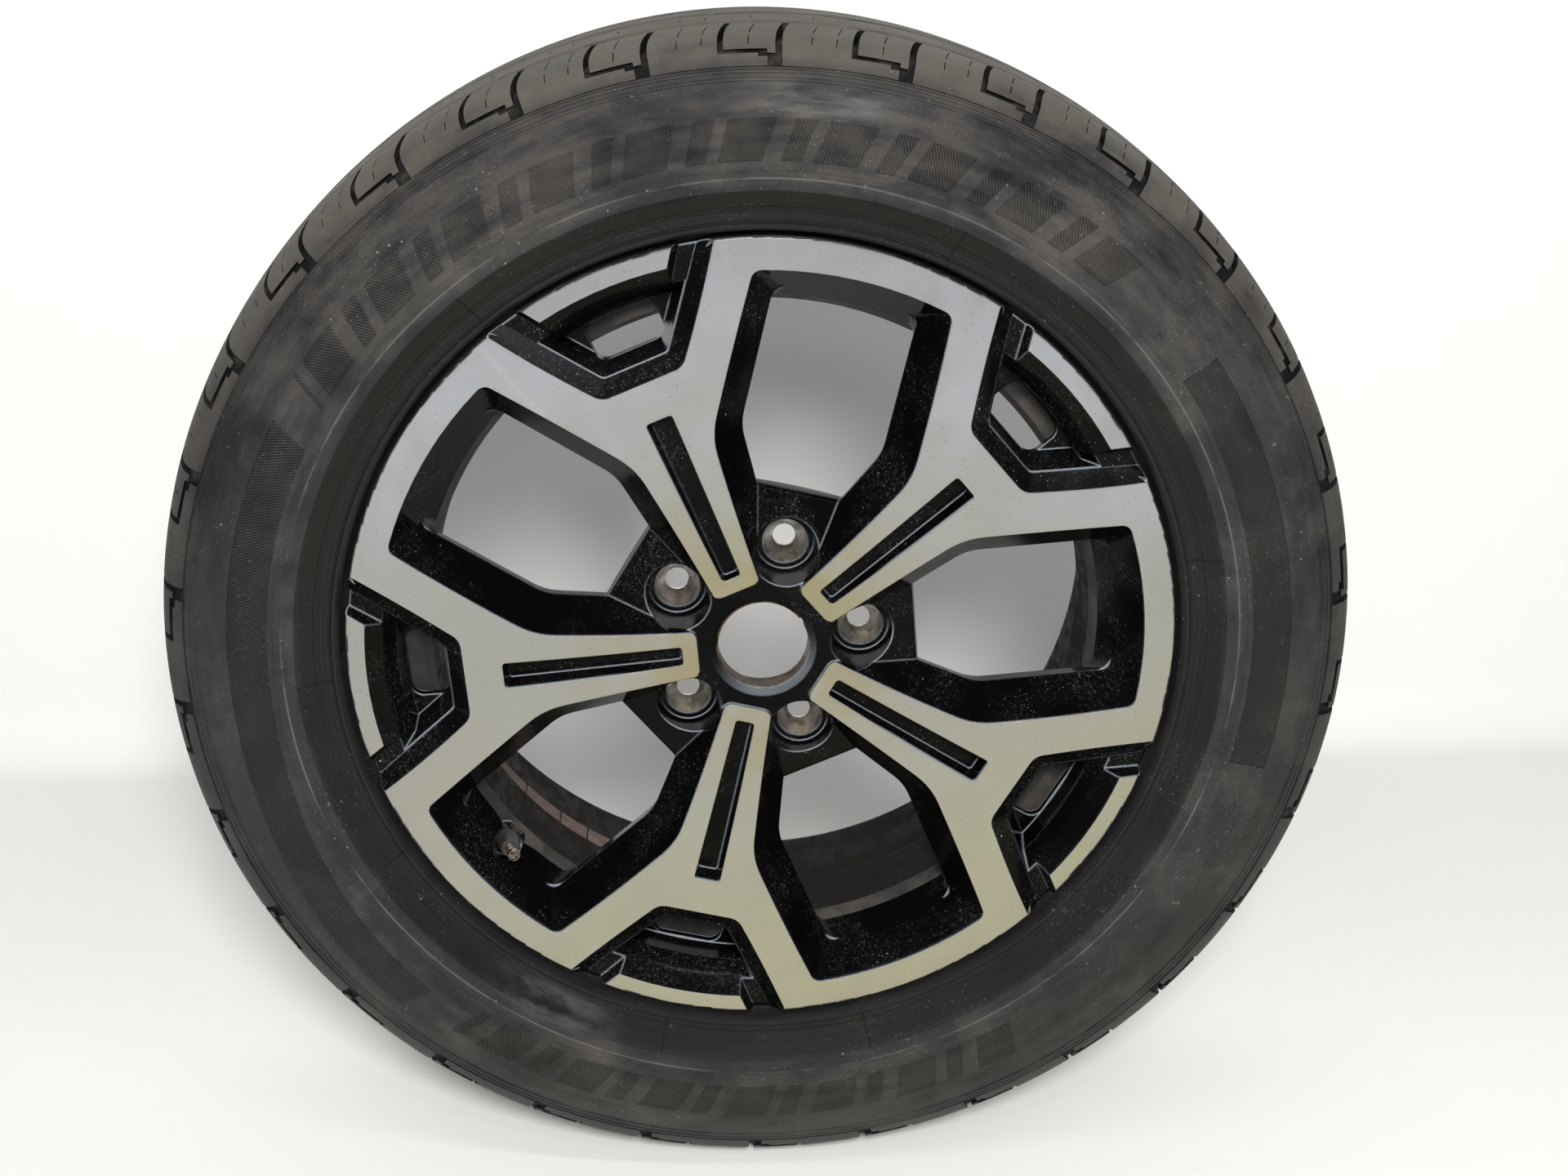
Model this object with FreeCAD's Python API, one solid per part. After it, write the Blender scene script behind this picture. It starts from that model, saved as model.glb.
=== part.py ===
import FreeCAD, Part
import math
import os

V = FreeCAD.Vector
ORIGIN = V(0, 0, 0)
AXLE = V(0, 1, 0)

# All sizes are in millimetres. The axle is Y, the outer face looks towards -Y and Z is up.
# Depths are measured backwards from the plane of the rim's front edge.

# Tyre and rim code: 215/60 on a 17 inch rim 6.5 inches wide
INCH = 25.4
SECTION_WIDTH = 215.0
ASPECT = 0.60
RIM_CODE = 17 * INCH
RIM_WIDTH = 6.5 * INCH
TYRE_R = RIM_CODE / 2 + ASPECT * SECTION_WIDTH
TYRE_WIDTH = 221.0

# Rim: bead seats, flanges, drop centre and barrel
SEAT_R = 436.6 / 2
SEAT_LENGTH = 19.5
SEAT_FALL = SEAT_LENGTH * math.tan(math.radians(5))
HUMP = 1.3
FLANGE_R = SEAT_R + 17.3
FLANGE_FRONT = 10.45
FLANGE_REAR = 11.4
FLANGE_ROUND = 8.0
HEEL_ROUND = 6.5
FACE_EDGE = 1.6
MID = FLANGE_FRONT + RIM_WIDTH / 2
REAR_SEAT = FLANGE_FRONT + RIM_WIDTH
WHEEL_DEPTH = REAR_SEAT + FLANGE_REAR
WELL_R = 199.0
WELL_WALL = 5.5
WELL_IN = WELL_R - WELL_WALL
BARREL_OUT = 212.2
BARREL_IN = 206.8
REAR_MOUTH_R = 215.5

# Machined face: crowned, highest at the crown radius
FACE_R = FLANGE_R - FACE_EDGE
CROWN_R = 150.0
CROWN = 3.6
HUB_FACE_R = 38.0
HUB_FACE_DROP = 2.9
DISC_BACK = 36.5
DISC_IN = 20.0

# Spokes: five stems that fork into two arms each
SPOKES = 5
STEP = 360.0 / SPOKES
SPOKE_TURN = -22.6
WINDOW_TURN = SPOKE_TURN + STEP / 2
STEM_END = 37.5
STEM_END_ROUND = 6.0
STEM_IN = (42.0, 11.1)
STEM_OUT = (108.0, 20.8)
WINDOW_HALF = 55.8
WINDOW_TOP_R = 217.0
WINDOW_WALL_END = 44.0
WINDOW_BEND = 45.0
WINDOW_CORNER = 7.0
PARTING = 23.0
FRONT_DRAFT = 0.61
REAR_DRAFT = 0.21
DRAFT_LEVEL = -2.0

# Groove down each stem
GROOVE_IN = (46.0, 5.7)
GROOVE_OUT = (147.5, 7.3)
GROOVE_FLOOR = 10.0
GROOVE_DRAFT = 0.12
GROOVE_ROUND = 2.0

# Pocket in each fork: bevel, well, through slot and the strip at the rim
FORK_V = 169.5
FORK_SIDE = (32.0, 180.0)
FORK_SLOPE = 0.77
FORK_ROUND = 10.0
BEVEL_WIDTH = 9.3
BEVEL_DEPTH = 6.5
WELL_STEP = 0.6
LEDGE_DEPTH = 17.0
WELL_FLOOR = 33.0
STRIP_R = 224.5
STRIP_HALF = 37.0
STRIP_END_SLOPE = 0.69
STRIP_BEVEL = 1.56
STRIP_END_BEVEL = 0.77
SLOT_V = (182.6, 206.5)
SLOT_HALF = 20.6
SLOT_ROUND = 7.0

# Hollow behind each stem
HOLLOW_V = (98.0, 162.0)
HOLLOW_HALF = (14.0, 24.0)
HOLLOW_FLOOR = 18.0
HOLLOW_DRAFT = 0.12

# Hub: front ring, flat pads down to the windows, rear pad, bore and lug holes
HUB_RING = 4.8
HUB_RING_R = 48.0
HUB_FLAT = 88.0
HUB_FLAT_END = 23.0
HUB_EDGE = 89.3
HUB_EDGE_END = 27.5
HUB_R = 97.0
PAD_DEPTH = 43.0
PAD_R = 76.0
CAP_R = 26.0
CAP_LIP = (8.0, 20.0)
CAP_STEPS = ((29.6, 6.0), (28.4, 7.0), (27.2, CAP_LIP[0]))
CAP_NOTCH_R = 2.2
CAP_NOTCH_ANGLE = 57.0
BORE_R = 33.05
BORE_CHAMFER = 4.0
PCD = 114.3
LUG_HOLE_R = 6.6
LUG_SEAT = 29.5
LUG_CONE_R = 13.1
LUG_POCKET_R = 16.8
LUG_POCKET_DRAFT = 0.09

# Valve: seat place on the window wall, tilt and sizes along its axis
VALVE_R = 203.3
VALVE_DEPTH = 32.5
VALVE_TILT = 16.6
VALVE_WINDOW = 3
VALVE_HOLE_R = 5.65
VALVE_WALL = 4.0
VALVE_RECESS_R = 9.6
VALVE_BOSS_R = 11.5
VALVE_BOSS_END = 8.0
VALVE_INNER_R = 8.3
VALVE_TIP = 36.0
VALVE_RUBBER_END = 21.0
VALVE_NECK_R = 3.85
VALVE_SHANK_R = 3.0
VALVE_CORE_R = 2.6
VALVE_AIR_R = 1.9
PIN_R = 0.8
PIN_SLIP = 0.05
PIN_TRAVEL = 1.5
GRIP = 0.05

# Balance weights stuck inside the barrel
TAPE = 0.8
TAPE_WIDTH = 21.0
WEIGHT_HEIGHT = 3.6
WEIGHT_WIDTH = 20.0
WEIGHT_FRONT = 101.0
WEIGHT_SPANS = (5.6, 5.9, 8.2, 8.1)
WEIGHT_FIRST = 207.35
WEIGHT_GAP = 0.12

# Tyre: tread grooves and shoulder slots
TREAD_R = 14.4
LINER_CROWN = 1.2       # how much the tyre's inside rises to its middle
GROOVE_DEPTH = 7.6
SHOULDER_R = 340.2
RIB_GROOVES = ((56.5, 47.5), (22.5, 13.5))
SLOTS = 60
SLOT_WIDTH = 3.4
SLOT_FLOOR = 334.6
SLOT_SLANT = 10.0


def at(u, v, depth):
    """Point u to the right, v up and depth behind the rim edge."""
    return V(u, depth - MID, v)


def turned(shape, degrees):
    """Copy of a shape turned about the axle."""
    copy = shape.copy()
    copy.rotate(ORIGIN, AXLE, degrees)
    return copy


def around(shape, first):
    """Copies of a shape at every spoke, the first one turned to a stated angle."""
    return [turned(shape, first + STEP * k) for k in range(SPOKES)]


def run(corners, place, closed):
    """Edges through corners (x, y, round), each corner rounded to its radius."""
    count = len(corners)
    ends = []
    for i, (x, y, radius) in enumerate(corners):
        here = V(x, y, 0)
        if radius == 0:
            ends.append((here, None, here))
            continue
        before = corners[i - 1]
        after = corners[(i + 1) % count]
        back = (V(before[0], before[1], 0) - here).normalize()
        ahead = (V(after[0], after[1], 0) - here).normalize()
        half = back.getAngle(ahead) / 2
        reach = radius / math.tan(half)
        middle = (back + ahead).normalize()
        nearest = here + middle * (radius / math.sin(half) - radius)
        ends.append((here + back * reach, nearest, here + ahead * reach))
    edges = []
    for i in range(count):
        start, nearest, end = ends[i]
        if nearest is not None:
            arc = Part.Arc(place(start.x, start.y), place(nearest.x, nearest.y), place(end.x, end.y))
            edges.append(arc.toShape())
        if i == count - 1 and not closed:
            break
        following = ends[(i + 1) % count][0]
        if end.distanceToPoint(following) > 1e-6:
            edges.append(Part.makeLine(place(end.x, end.y), place(following.x, following.y)))
    return edges


def spin_place(r, depth):
    """Point of a profile that is spun about the axle."""
    return V(r, depth - MID, 0)


def spun(edges, degrees=360.0):
    """Solid of revolution from the closed profile that the edges make."""
    face = Part.Face(Part.Wire(Part.__sortEdges__(edges)))
    return face.revolve(ORIGIN, AXLE, degrees)


def spun_corners(corners, degrees=360.0):
    return spun(run(corners, spin_place, True), degrees)


def flat_wire(corners, depth):
    return Part.Wire(run(corners, lambda u, v: at(u, v, depth), True))


def loft(wires):
    return Part.makeLoft(wires, True, True)


def face_depth(r):
    """Depth of the crowned machined face at a radius."""
    bow = (CROWN + HUB_FACE_DROP) / (CROWN_R - HUB_FACE_R) ** 2
    return bow * (r - CROWN_R) ** 2 - CROWN


def window_wall(depth):
    """Radius of the sloping wall at the outer side of the windows."""
    return WINDOW_TOP_R - (WINDOW_TOP_R - WELL_IN) * depth / WINDOW_WALL_END


def rim_and_disc():
    """Rim, barrel and an uncut disc in one profile."""
    hump_depth = FLANGE_FRONT + SEAT_LENGTH
    chain = [
        (FACE_R, 0, 0),
        (FLANGE_R, 0, FACE_EDGE),
        (FLANGE_R, FLANGE_FRONT, FLANGE_ROUND),
        (SEAT_R, FLANGE_FRONT, HEEL_ROUND),
        (SEAT_R - SEAT_FALL, hump_depth, 0),
        (SEAT_R - SEAT_FALL + HUMP, hump_depth + 2.5, 2.0),
        (SEAT_R - SEAT_FALL - 0.4, hump_depth + 6.0, 0),
        (WELL_R, 56.0, 8.0),
        (WELL_R, 83.0, 8.0),
        (BARREL_OUT, 95.5, 8.0),
        (BARREL_OUT + 1.0, REAR_SEAT - SEAT_LENGTH - 6.0, 0),
        (SEAT_R - SEAT_FALL + HUMP, REAR_SEAT - SEAT_LENGTH - 2.5, 2.0),
        (SEAT_R - SEAT_FALL, REAR_SEAT - SEAT_LENGTH, 0),
        (SEAT_R, REAR_SEAT, HEEL_ROUND),
        (FLANGE_R, REAR_SEAT, FLANGE_ROUND),
        (FLANGE_R, WHEEL_DEPTH, 3.0),
        (REAR_MOUTH_R, WHEEL_DEPTH, 2.0),
        (212.0, WHEEL_DEPTH - 9.0, 8.0),
        (BARREL_IN, 125.0, 20.0),
        (BARREL_IN, 97.0, 5.0),
        (WELL_IN, 86.0, 5.0),
        (WELL_IN, WINDOW_WALL_END, 3.0),
        (window_wall(DISC_BACK), DISC_BACK, 0),
        (DISC_IN, DISC_BACK, 0),
        (DISC_IN, face_depth(DISC_IN), 0),
    ]
    edges = run(chain, spin_place, False)
    front = Part.Arc(
        spin_place(DISC_IN, face_depth(DISC_IN)),
        spin_place(CROWN_R, face_depth(CROWN_R)),
        spin_place(FACE_R, 0),
    )
    return spun(edges + [front.toShape()])


def window_corners(inset):
    """Outline of a window and the valley below it, drawn in by an inset."""
    half_step = math.radians(STEP / 2)
    points = []
    for along, half in (STEM_IN, STEM_OUT):
        u = along * math.sin(half_step) - half * math.cos(half_step)
        v = along * math.cos(half_step) + half * math.sin(half_step)
        points.append((u, v))
    slope = (points[1][0] - points[0][0]) / (points[1][1] - points[0][1])
    shift = inset * math.hypot(1, slope)
    side = WINDOW_HALF - inset
    tip = 2.5
    tip_v = points[0][1] + (tip - points[0][0] + shift) / slope
    bend_v = points[0][1] + (side - points[0][0] + shift) / slope
    top_v = FLANGE_R
    bend = WINDOW_BEND - inset
    return [
        (-tip, tip_v, 0),
        (tip, tip_v, 0),
        (side, bend_v, bend),
        (side, top_v, 0),
        (-side, top_v, 0),
        (-side, bend_v, bend),
    ]


def window_cutters():
    """Front and rear halves of one window, meeting at the parting depth."""
    def front_inset(depth):
        return FRONT_DRAFT * (depth - DRAFT_LEVEL)

    top = -8.0
    back = DISC_BACK + 2.0
    narrow = front_inset(PARTING)
    wide = narrow - REAR_DRAFT * (back - PARTING)
    middle = flat_wire(window_corners(narrow), PARTING)
    halves = [
        (flat_wire(window_corners(front_inset(top)), top), middle, top, PARTING),
        (middle, flat_wire(window_corners(wide), back), PARTING, back),
    ]
    cutters = []
    for first, second, start, end in halves:
        cone = Part.makeCone(window_wall(start), window_wall(end), end - start, at(0, 0, start), AXLE)
        cutter = loft([first, second]).common(cone)
        corner_edges = []
        for edge in cutter.Edges:
            points = [vertex.Point for vertex in edge.Vertexes]
            depths = [p.y + MID for p in points]
            on_wall = all(abs(math.hypot(p.x, p.z) - window_wall(d)) < 0.05 for p, d in zip(points, depths))
            at_side = all(abs(p.x) > WINDOW_HALF / 2 for p in points)
            if on_wall and at_side and abs(depths[0] - depths[-1]) > 1.0:
                corner_edges.append(edge)
        cutters.append(cutter.makeFillet(WINDOW_CORNER, corner_edges))
    return cutters


def stem_end_cutters():
    """Five-sided recess that ends the stems, with the stem corners rounded."""
    reach = STEM_END / math.cos(math.radians(STEP / 2))
    turns = [math.radians(WINDOW_TURN + STEP * k) for k in range(SPOKES)]
    points = [(reach * math.sin(t), reach * math.cos(t), 0) for t in turns]
    top = -8.0
    recess = Part.Face(flat_wire(points, top)).extrude(V(0, HUB_RING - top, 0))
    taper = (STEM_OUT[1] - STEM_IN[1]) / (STEM_OUT[0] - STEM_IN[0])
    level = (HUB_RING + HUB_FACE_DROP) / 2
    half = STEM_IN[1] + taper * (STEM_END - STEM_IN[0]) + FRONT_DRAFT * (level - DRAFT_LEVEL)
    over = 2.0
    tools = [recess]
    for side in (-1, 1):
        corner = V(side * half, STEM_END, 0)
        up = V(side * taper, 1, 0).normalize()
        across = V(-side, 0, 0)
        angle = up.getAngle(across) / 2
        length = STEM_END_ROUND / math.tan(angle)
        middle = (up + across).normalize()
        nearest = corner + middle * (STEM_END_ROUND / math.sin(angle) - STEM_END_ROUND)
        first = corner + up * length
        last = corner + across * length
        out = -middle * (2 * over)
        arc = Part.Arc(at(first.x, first.y, top), at(nearest.x, nearest.y, top), at(last.x, last.y, top))
        ring = [last, last + V(0, -over, 0), corner + out, first + V(side * over, 0, 0), first]
        lines = [Part.makeLine(at(a.x, a.y, top), at(b.x, b.y, top)) for a, b in zip(ring, ring[1:])]
        prism = Part.Face(Part.Wire([arc.toShape()] + lines)).extrude(V(0, HUB_RING - top, 0))
        tools += around(prism, SPOKE_TURN)
    return tools


def groove_cutter():
    """Tapered groove down the middle of a stem."""
    def corners(depth):
        grow = -GROOVE_DRAFT * depth
        low, near = GROOVE_IN[0] - grow, GROOVE_IN[1] + grow
        high, far = GROOVE_OUT[0] + grow, GROOVE_OUT[1] + grow
        return [
            (-near, low, GROOVE_ROUND),
            (near, low, GROOVE_ROUND),
            (far, high, GROOVE_ROUND),
            (-far, high, GROOVE_ROUND),
        ]

    return loft([flat_wire(corners(depth), depth) for depth in (-8.0, GROOVE_FLOOR)])


def fork_place(height):
    """Maps a fork outline onto a plane this far below the face, tilted with the face."""
    start = face_depth(FORK_V)
    tilt = -start / (FACE_R - FORK_V)

    def place(u, v):
        return at(u, v, start + tilt * (v - FORK_V) + height)

    return place


def fork_side(v, inset):
    """Half width of the fork pocket at v, drawn in by an inset."""
    return FORK_SIDE[0] + FORK_SLOPE * (v - FORK_SIDE[1]) - inset * math.hypot(1, FORK_SLOPE)


def meeting(side, radius):
    """Half width and v where a sloping side, side(v), crosses a circle about the axle."""
    v = radius
    for _ in range(30):
        v = math.sqrt(radius * radius - side(v) ** 2)
    return side(v), v


def fork_bevel():
    """Sloping band round the fork pocket, open at the rim."""
    wires = []
    for height in (-6.0, BEVEL_DEPTH):
        inset = BEVEL_WIDTH * height / BEVEL_DEPTH
        v = FORK_V + inset
        half = fork_side(v, inset)
        far = FLANGE_R + 12.0
        far_half = fork_side(far, inset)
        corner = FORK_ROUND - 0.6 * inset
        corners = [(-half, v, corner), (half, v, corner), (far_half, far, 0), (-far_half, far, 0)]
        wires.append(Part.Wire(run(corners, fork_place(height), True)))
    return loft(wires)


def rim_strip():
    """Machined strip left standing at the rim between the arms."""
    wires = []
    for height in (-6.0, BEVEL_DEPTH + 2.0):
        place = fork_place(height)
        r = STRIP_R - STRIP_BEVEL * height
        start = math.sqrt(STRIP_R ** 2 - STRIP_HALF ** 2)

        def end_line(v):
            return STRIP_HALF + STRIP_END_SLOPE * (v - start) + STRIP_END_BEVEL * height

        half, v = meeting(end_line, r)
        far = FLANGE_R + 14.0
        far_half = end_line(far)
        inner = Part.Arc(place(-half, v), place(0, r), place(half, v)).toShape()
        path = [(half, v), (far_half, far), (-far_half, far), (-half, v)]
        lines = [Part.makeLine(place(*a), place(*b)) for a, b in zip(path, path[1:])]
        wires.append(Part.Wire([inner] + lines))
    return loft(wires)


def fork_well():
    """Drafted well inside the bevel: levels are (height, hub side, inset, rim side)."""
    hub = FORK_V + BEVEL_WIDTH + WELL_STEP
    inset = BEVEL_WIDTH + WELL_STEP
    rim = STRIP_R - STRIP_BEVEL * BEVEL_DEPTH
    levels = [
        (BEVEL_DEPTH - 2.0, hub, inset, rim + 2.6),
        (LEDGE_DEPTH, hub + 1.0, inset + 1.8, rim - 5.6),
        (WELL_FLOOR, hub + 3.0, inset + 4.5, rim - 6.8),
    ]
    wires = []
    for height, low, inset, high in levels:
        place = fork_place(height)
        corner = 4.0
        low_half = fork_side(low, inset)
        high_half, v = meeting(lambda v, inset=inset: fork_side(v, inset), high)
        chain = [(high_half, v, 0), (low_half, low, corner), (-low_half, low, corner), (-high_half, v, 0)]
        edges = run(chain, place, False)
        edges.append(Part.Arc(place(-high_half, v), place(0, high), place(high_half, v)).toShape())
        wires.append(Part.Wire(edges))
    return loft(wires)


def fork_cutters():
    """Everything that is taken out of one fork."""
    low, high = SLOT_V
    corners = [
        (-SLOT_HALF, low, SLOT_ROUND),
        (SLOT_HALF, low, SLOT_ROUND),
        (SLOT_HALF, high, SLOT_ROUND),
        (-SLOT_HALF, high, SLOT_ROUND),
    ]
    start = WELL_FLOOR - 6.0
    slot = Part.Face(flat_wire(corners, start)).extrude(V(0, DISC_BACK + 0.6 - start, 0))
    return [fork_bevel().cut(rim_strip()), fork_well(), slot]


def hollow_cutter():
    """Hollow in the back of a stem."""
    wires = []
    for depth in (DISC_BACK + 2.0, HOLLOW_FLOOR):
        inset = HOLLOW_DRAFT * (DISC_BACK - depth)
        low, high = HOLLOW_V[0] + inset, HOLLOW_V[1] - inset
        near, far = HOLLOW_HALF[0] - inset, HOLLOW_HALF[1] - inset
        wires.append(flat_wire([(-near, low, 5.0), (near, low, 5.0), (far, high, 5.0), (-far, high, 5.0)], depth))
    return loft(wires)


def pad_cutter():
    """What is taken off the hub in front of one flat pad and beyond its straight edge."""
    fall = (HUB_FLAT_END - HUB_RING) / (HUB_FLAT - HUB_RING_R)
    before = 12.0
    front = HUB_RING - before * fall
    corners = [
        (HUB_RING_R - before, front, 0),
        (HUB_FLAT, HUB_FLAT_END, 2.0),
        (HUB_EDGE, HUB_EDGE_END, 0),
        (HUB_EDGE, PAD_DEPTH, 0),
        (HUB_R + 10.0, PAD_DEPTH, 0),
        (HUB_R + 10.0, front, 0),
    ]
    wire = Part.Wire(run(corners, lambda v, depth: at(-HUB_R, v, depth), True))
    return Part.Face(wire).extrude(V(2 * HUB_R, 0, 0))


def hub_dome():
    """Hub with its front ring, five flat pads down to the windows and the rear pad."""
    dome = spun_corners([
        (DISC_IN, HUB_RING, 0),
        (HUB_R, HUB_RING, 0),
        (HUB_R, HUB_EDGE_END, 0),
        (PAD_R + 2.0, PAD_DEPTH, 2.0),
        (DISC_IN, PAD_DEPTH, 0),
    ])
    return dome.cut(around(pad_cutter(), WINDOW_TURN))


def bore_cutters():
    """Stepped seat for a centre cap, its lip with one nick, and the hub bore."""
    steps = [(0, -10.0, 0), (CAP_STEPS[0][0], -10.0, 0)]
    for i, (radius, depth) in enumerate(CAP_STEPS):
        inner = CAP_STEPS[i + 1][0] if i + 1 < len(CAP_STEPS) else CAP_R
        steps += [(radius, depth, 0), (inner, depth, 0)]
    steps += [
        (CAP_R, CAP_LIP[1], 0),
        (BORE_R, CAP_LIP[1], 0),
        (BORE_R, PAD_DEPTH - BORE_CHAMFER, 0),
        (BORE_R + BORE_CHAMFER + 1.0, PAD_DEPTH + 1.0, 0),
        (0, PAD_DEPTH + 1.0, 0),
    ]
    notch = Part.makeCylinder(CAP_NOTCH_R, CAP_LIP[1] - CAP_LIP[0], at(0, CAP_R, CAP_LIP[0]), AXLE)
    return [spun_corners(steps), turned(notch, CAP_NOTCH_ANGLE)]


def lug_cutters():
    """Lug pocket, conical seat and hole for one wheel nut."""
    r = PCD / 2
    pocket = Part.makeCone(
        LUG_POCKET_R + LUG_POCKET_DRAFT * (LUG_SEAT + 8.0), LUG_POCKET_R, LUG_SEAT + 8.0, at(0, r, -8.0), AXLE)
    cone_depth = (LUG_CONE_R - LUG_HOLE_R) / math.tan(math.radians(30))
    cone = Part.makeCone(LUG_CONE_R, LUG_HOLE_R, cone_depth, at(0, r, LUG_SEAT), AXLE)
    hole = Part.makeCylinder(LUG_HOLE_R, PAD_DEPTH + 1.0 - LUG_SEAT, at(0, r, LUG_SEAT), AXLE)
    return [pocket, cone, hole]


def valve_placed(shape):
    """Moves a shape made along +Z, seat at 0, to the valve's place and tilt."""
    tilt = math.radians(VALVE_TILT)
    towards_tip = V(0, -math.cos(tilt), -math.sin(tilt))
    moved = shape.copy()
    moved.Placement = FreeCAD.Placement(at(0, VALVE_R, VALVE_DEPTH), FreeCAD.Rotation(V(0, 0, 1), towards_tip))
    return turned(moved, WINDOW_TURN + STEP * VALVE_WINDOW)


def rod(radius, start, end):
    return Part.makeCylinder(radius, end - start, V(0, 0, start))


def lathe(corners):
    """Solid turned about Z from corners (radius, height, round)."""
    wire = Part.Wire(run(corners, lambda r, z: V(r, 0, z), True))
    return Part.Face(wire).revolve(ORIGIN, V(0, 0, 1), 360)


def alloy_wheel():
    """The casting: rim, spokes and hub in one piece."""
    wheel = rim_and_disc()
    cutters = stem_end_cutters()
    for window in window_cutters():
        cutters += around(window, WINDOW_TURN)
    wheel = wheel.cut(cutters)
    wheel = wheel.fuse([hub_dome(), valve_placed(rod(VALVE_BOSS_R, -VALVE_BOSS_END, -1.0))])
    cutters = bore_cutters() + around(groove_cutter(), SPOKE_TURN) + around(hollow_cutter(), SPOKE_TURN)
    for tool in fork_cutters():
        cutters += around(tool, SPOKE_TURN)
    for tool in lug_cutters():
        cutters += around(tool, WINDOW_TURN)
    cutters += [
        valve_placed(rod(VALVE_RECESS_R, 0, 40.0)),
        valve_placed(rod(VALVE_HOLE_R, -VALVE_WALL - 1.0, 1.0)),
        valve_placed(rod(VALVE_INNER_R, -24.0, -VALVE_WALL)),
    ]
    wheel = wheel.cut(cutters).removeSplitter()
    return max(wheel.Solids, key=lambda solid: solid.Volume)


def mirrored(corners):
    """The same corners on the other side of the tyre's middle, in reverse order."""
    return [(r, 2 * MID - depth, radius) for r, depth, radius in reversed(corners)]


def tyre():
    """Hollow tyre with ribs round the tread and slots across both shoulders."""
    wide = MID - TYRE_WIDTH / 2
    bead_in = SEAT_R - SEAT_FALL + GRIP
    outer = [
        (bead_in, FLANGE_FRONT + SEAT_LENGTH - 0.5, 0),
        (SEAT_R + GRIP, FLANGE_FRONT, HEEL_ROUND),
        (FLANGE_R + 0.2, FLANGE_FRONT, FLANGE_ROUND),
        (FLANGE_R + 5.4, -4.0, 3.0),
        (FLANGE_R + 11.0, -1.5, 5.0),
        (272.0, wide, 26.0),
        (296.0, wide, 40.0),
        (332.5, -0.5, 18.0),
        (336.0, 5.0, 0),
        (SHOULDER_R, 21.0, 8.0),
    ]
    for far, near in RIB_GROOVES:
        for offset, floor in ((far, False), (far - 1.0, True), (near + 1.0, True), (near, False)):
            crown = TYRE_R - (TYRE_R - SHOULDER_R) * (offset / (MID - 21.0)) ** 2
            outer.append((crown - GROOVE_DEPTH if floor else crown, MID - offset, 0))
    liner = [(TYRE_R - TREAD_R + LINER_CROWN, MID, 0)]
    inner = [
        (TYRE_R - TREAD_R, 60.0, 30.0),
        (TYRE_R - TREAD_R - 8.0, 14.0, 20.0),
        (304.0, wide + 9.0, 40.0),
        (272.0, wide + 9.0, 30.0),
        (244.0, 9.0, 12.0),
        (226.0, FLANGE_FRONT + 11.0, 6.0),
    ]
    body = spun_corners(outer + mirrored(outer) + mirrored(inner) + liner + inner)
    slots = []
    length = 40.0
    for k in range(SLOTS):
        block = Part.makeBox(SLOT_WIDTH, length, 30.0, V(-SLOT_WIDTH / 2, 0, 0))
        block.rotate(ORIGIN, V(0, 0, 1), SLOT_SLANT)
        front = block.copy()
        front.translate(at(0, SLOT_FLOOR, -4.0))
        slots.append(turned(front, 360.0 * k / SLOTS))
        rear = block.copy()
        rear.translate(at(0, SLOT_FLOOR, 2 * MID + 4.0 - length))
        slots.append(turned(rear, 360.0 * (k + 0.5) / SLOTS))
    return body.cut(slots)


def valve_rubber():
    """Snap-in rubber body, gripped by the rim hole."""
    body = lathe([
        (0, -12.0, 0),
        (4.6, -12.0, 1.0),
        (7.6, -VALVE_WALL - 3.0, 1.5),
        (7.6, -VALVE_WALL, 0.8),
        (VALVE_HOLE_R + GRIP, -VALVE_WALL, 0),
        (VALVE_HOLE_R + GRIP, 0, 0),
        (7.4, 0, 0.5),
        (6.6, 3.0, 2.0),
        (5.4, VALVE_RUBBER_END, 1.0),
        (0, VALVE_RUBBER_END, 0),
    ])
    return valve_placed(body.cut(rod(VALVE_SHANK_R - GRIP, -13.0, VALVE_RUBBER_END + 1.0)))


def valve_stem():
    """Metal stem with the threaded neck that stands out of the rubber."""
    body = lathe([
        (0, -12.0, 0),
        (VALVE_SHANK_R, -12.0, 0),
        (VALVE_SHANK_R, VALVE_RUBBER_END, 0),
        (VALVE_NECK_R, VALVE_RUBBER_END, 0.6),
        (VALVE_NECK_R, VALVE_TIP, 0.6),
        (0, VALVE_TIP, 0),
    ])
    bore = rod(VALVE_CORE_R - GRIP, VALVE_TIP - 14.0, VALVE_TIP + 1.0)
    air = rod(VALVE_AIR_R, -13.0, VALVE_TIP - 13.0)
    return valve_placed(body.cut([bore, air]))


def valve_core():
    """Core plug screwed into the stem, with the hole its pin slides in."""
    body = rod(VALVE_CORE_R, VALVE_TIP - 12.0, VALVE_TIP - 1.6)
    hole = rod(PIN_R + PIN_SLIP, VALVE_TIP - 13.0, VALVE_TIP)
    slots = Part.makeBox(2 * VALVE_CORE_R + 1.0, 1.0, 2.0, V(-VALVE_CORE_R - 0.5, -0.5, VALVE_TIP - 3.2))
    return valve_placed(body.cut([hole, slots]))


def valve_pin():
    """Pin that opens the valve when it is pushed in."""
    cup = lathe([
        (0, VALVE_TIP - 14.5, 0),
        (1.5, VALVE_TIP - 14.5, 0),
        (1.5, VALVE_TIP - 12.0 - PIN_SLIP, 0),
        (0, VALVE_TIP - 12.0 - PIN_SLIP, 0),
    ])
    return valve_placed(rod(PIN_R, VALVE_TIP - 13.5, VALVE_TIP - 0.4).fuse(cup).removeSplitter())


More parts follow.
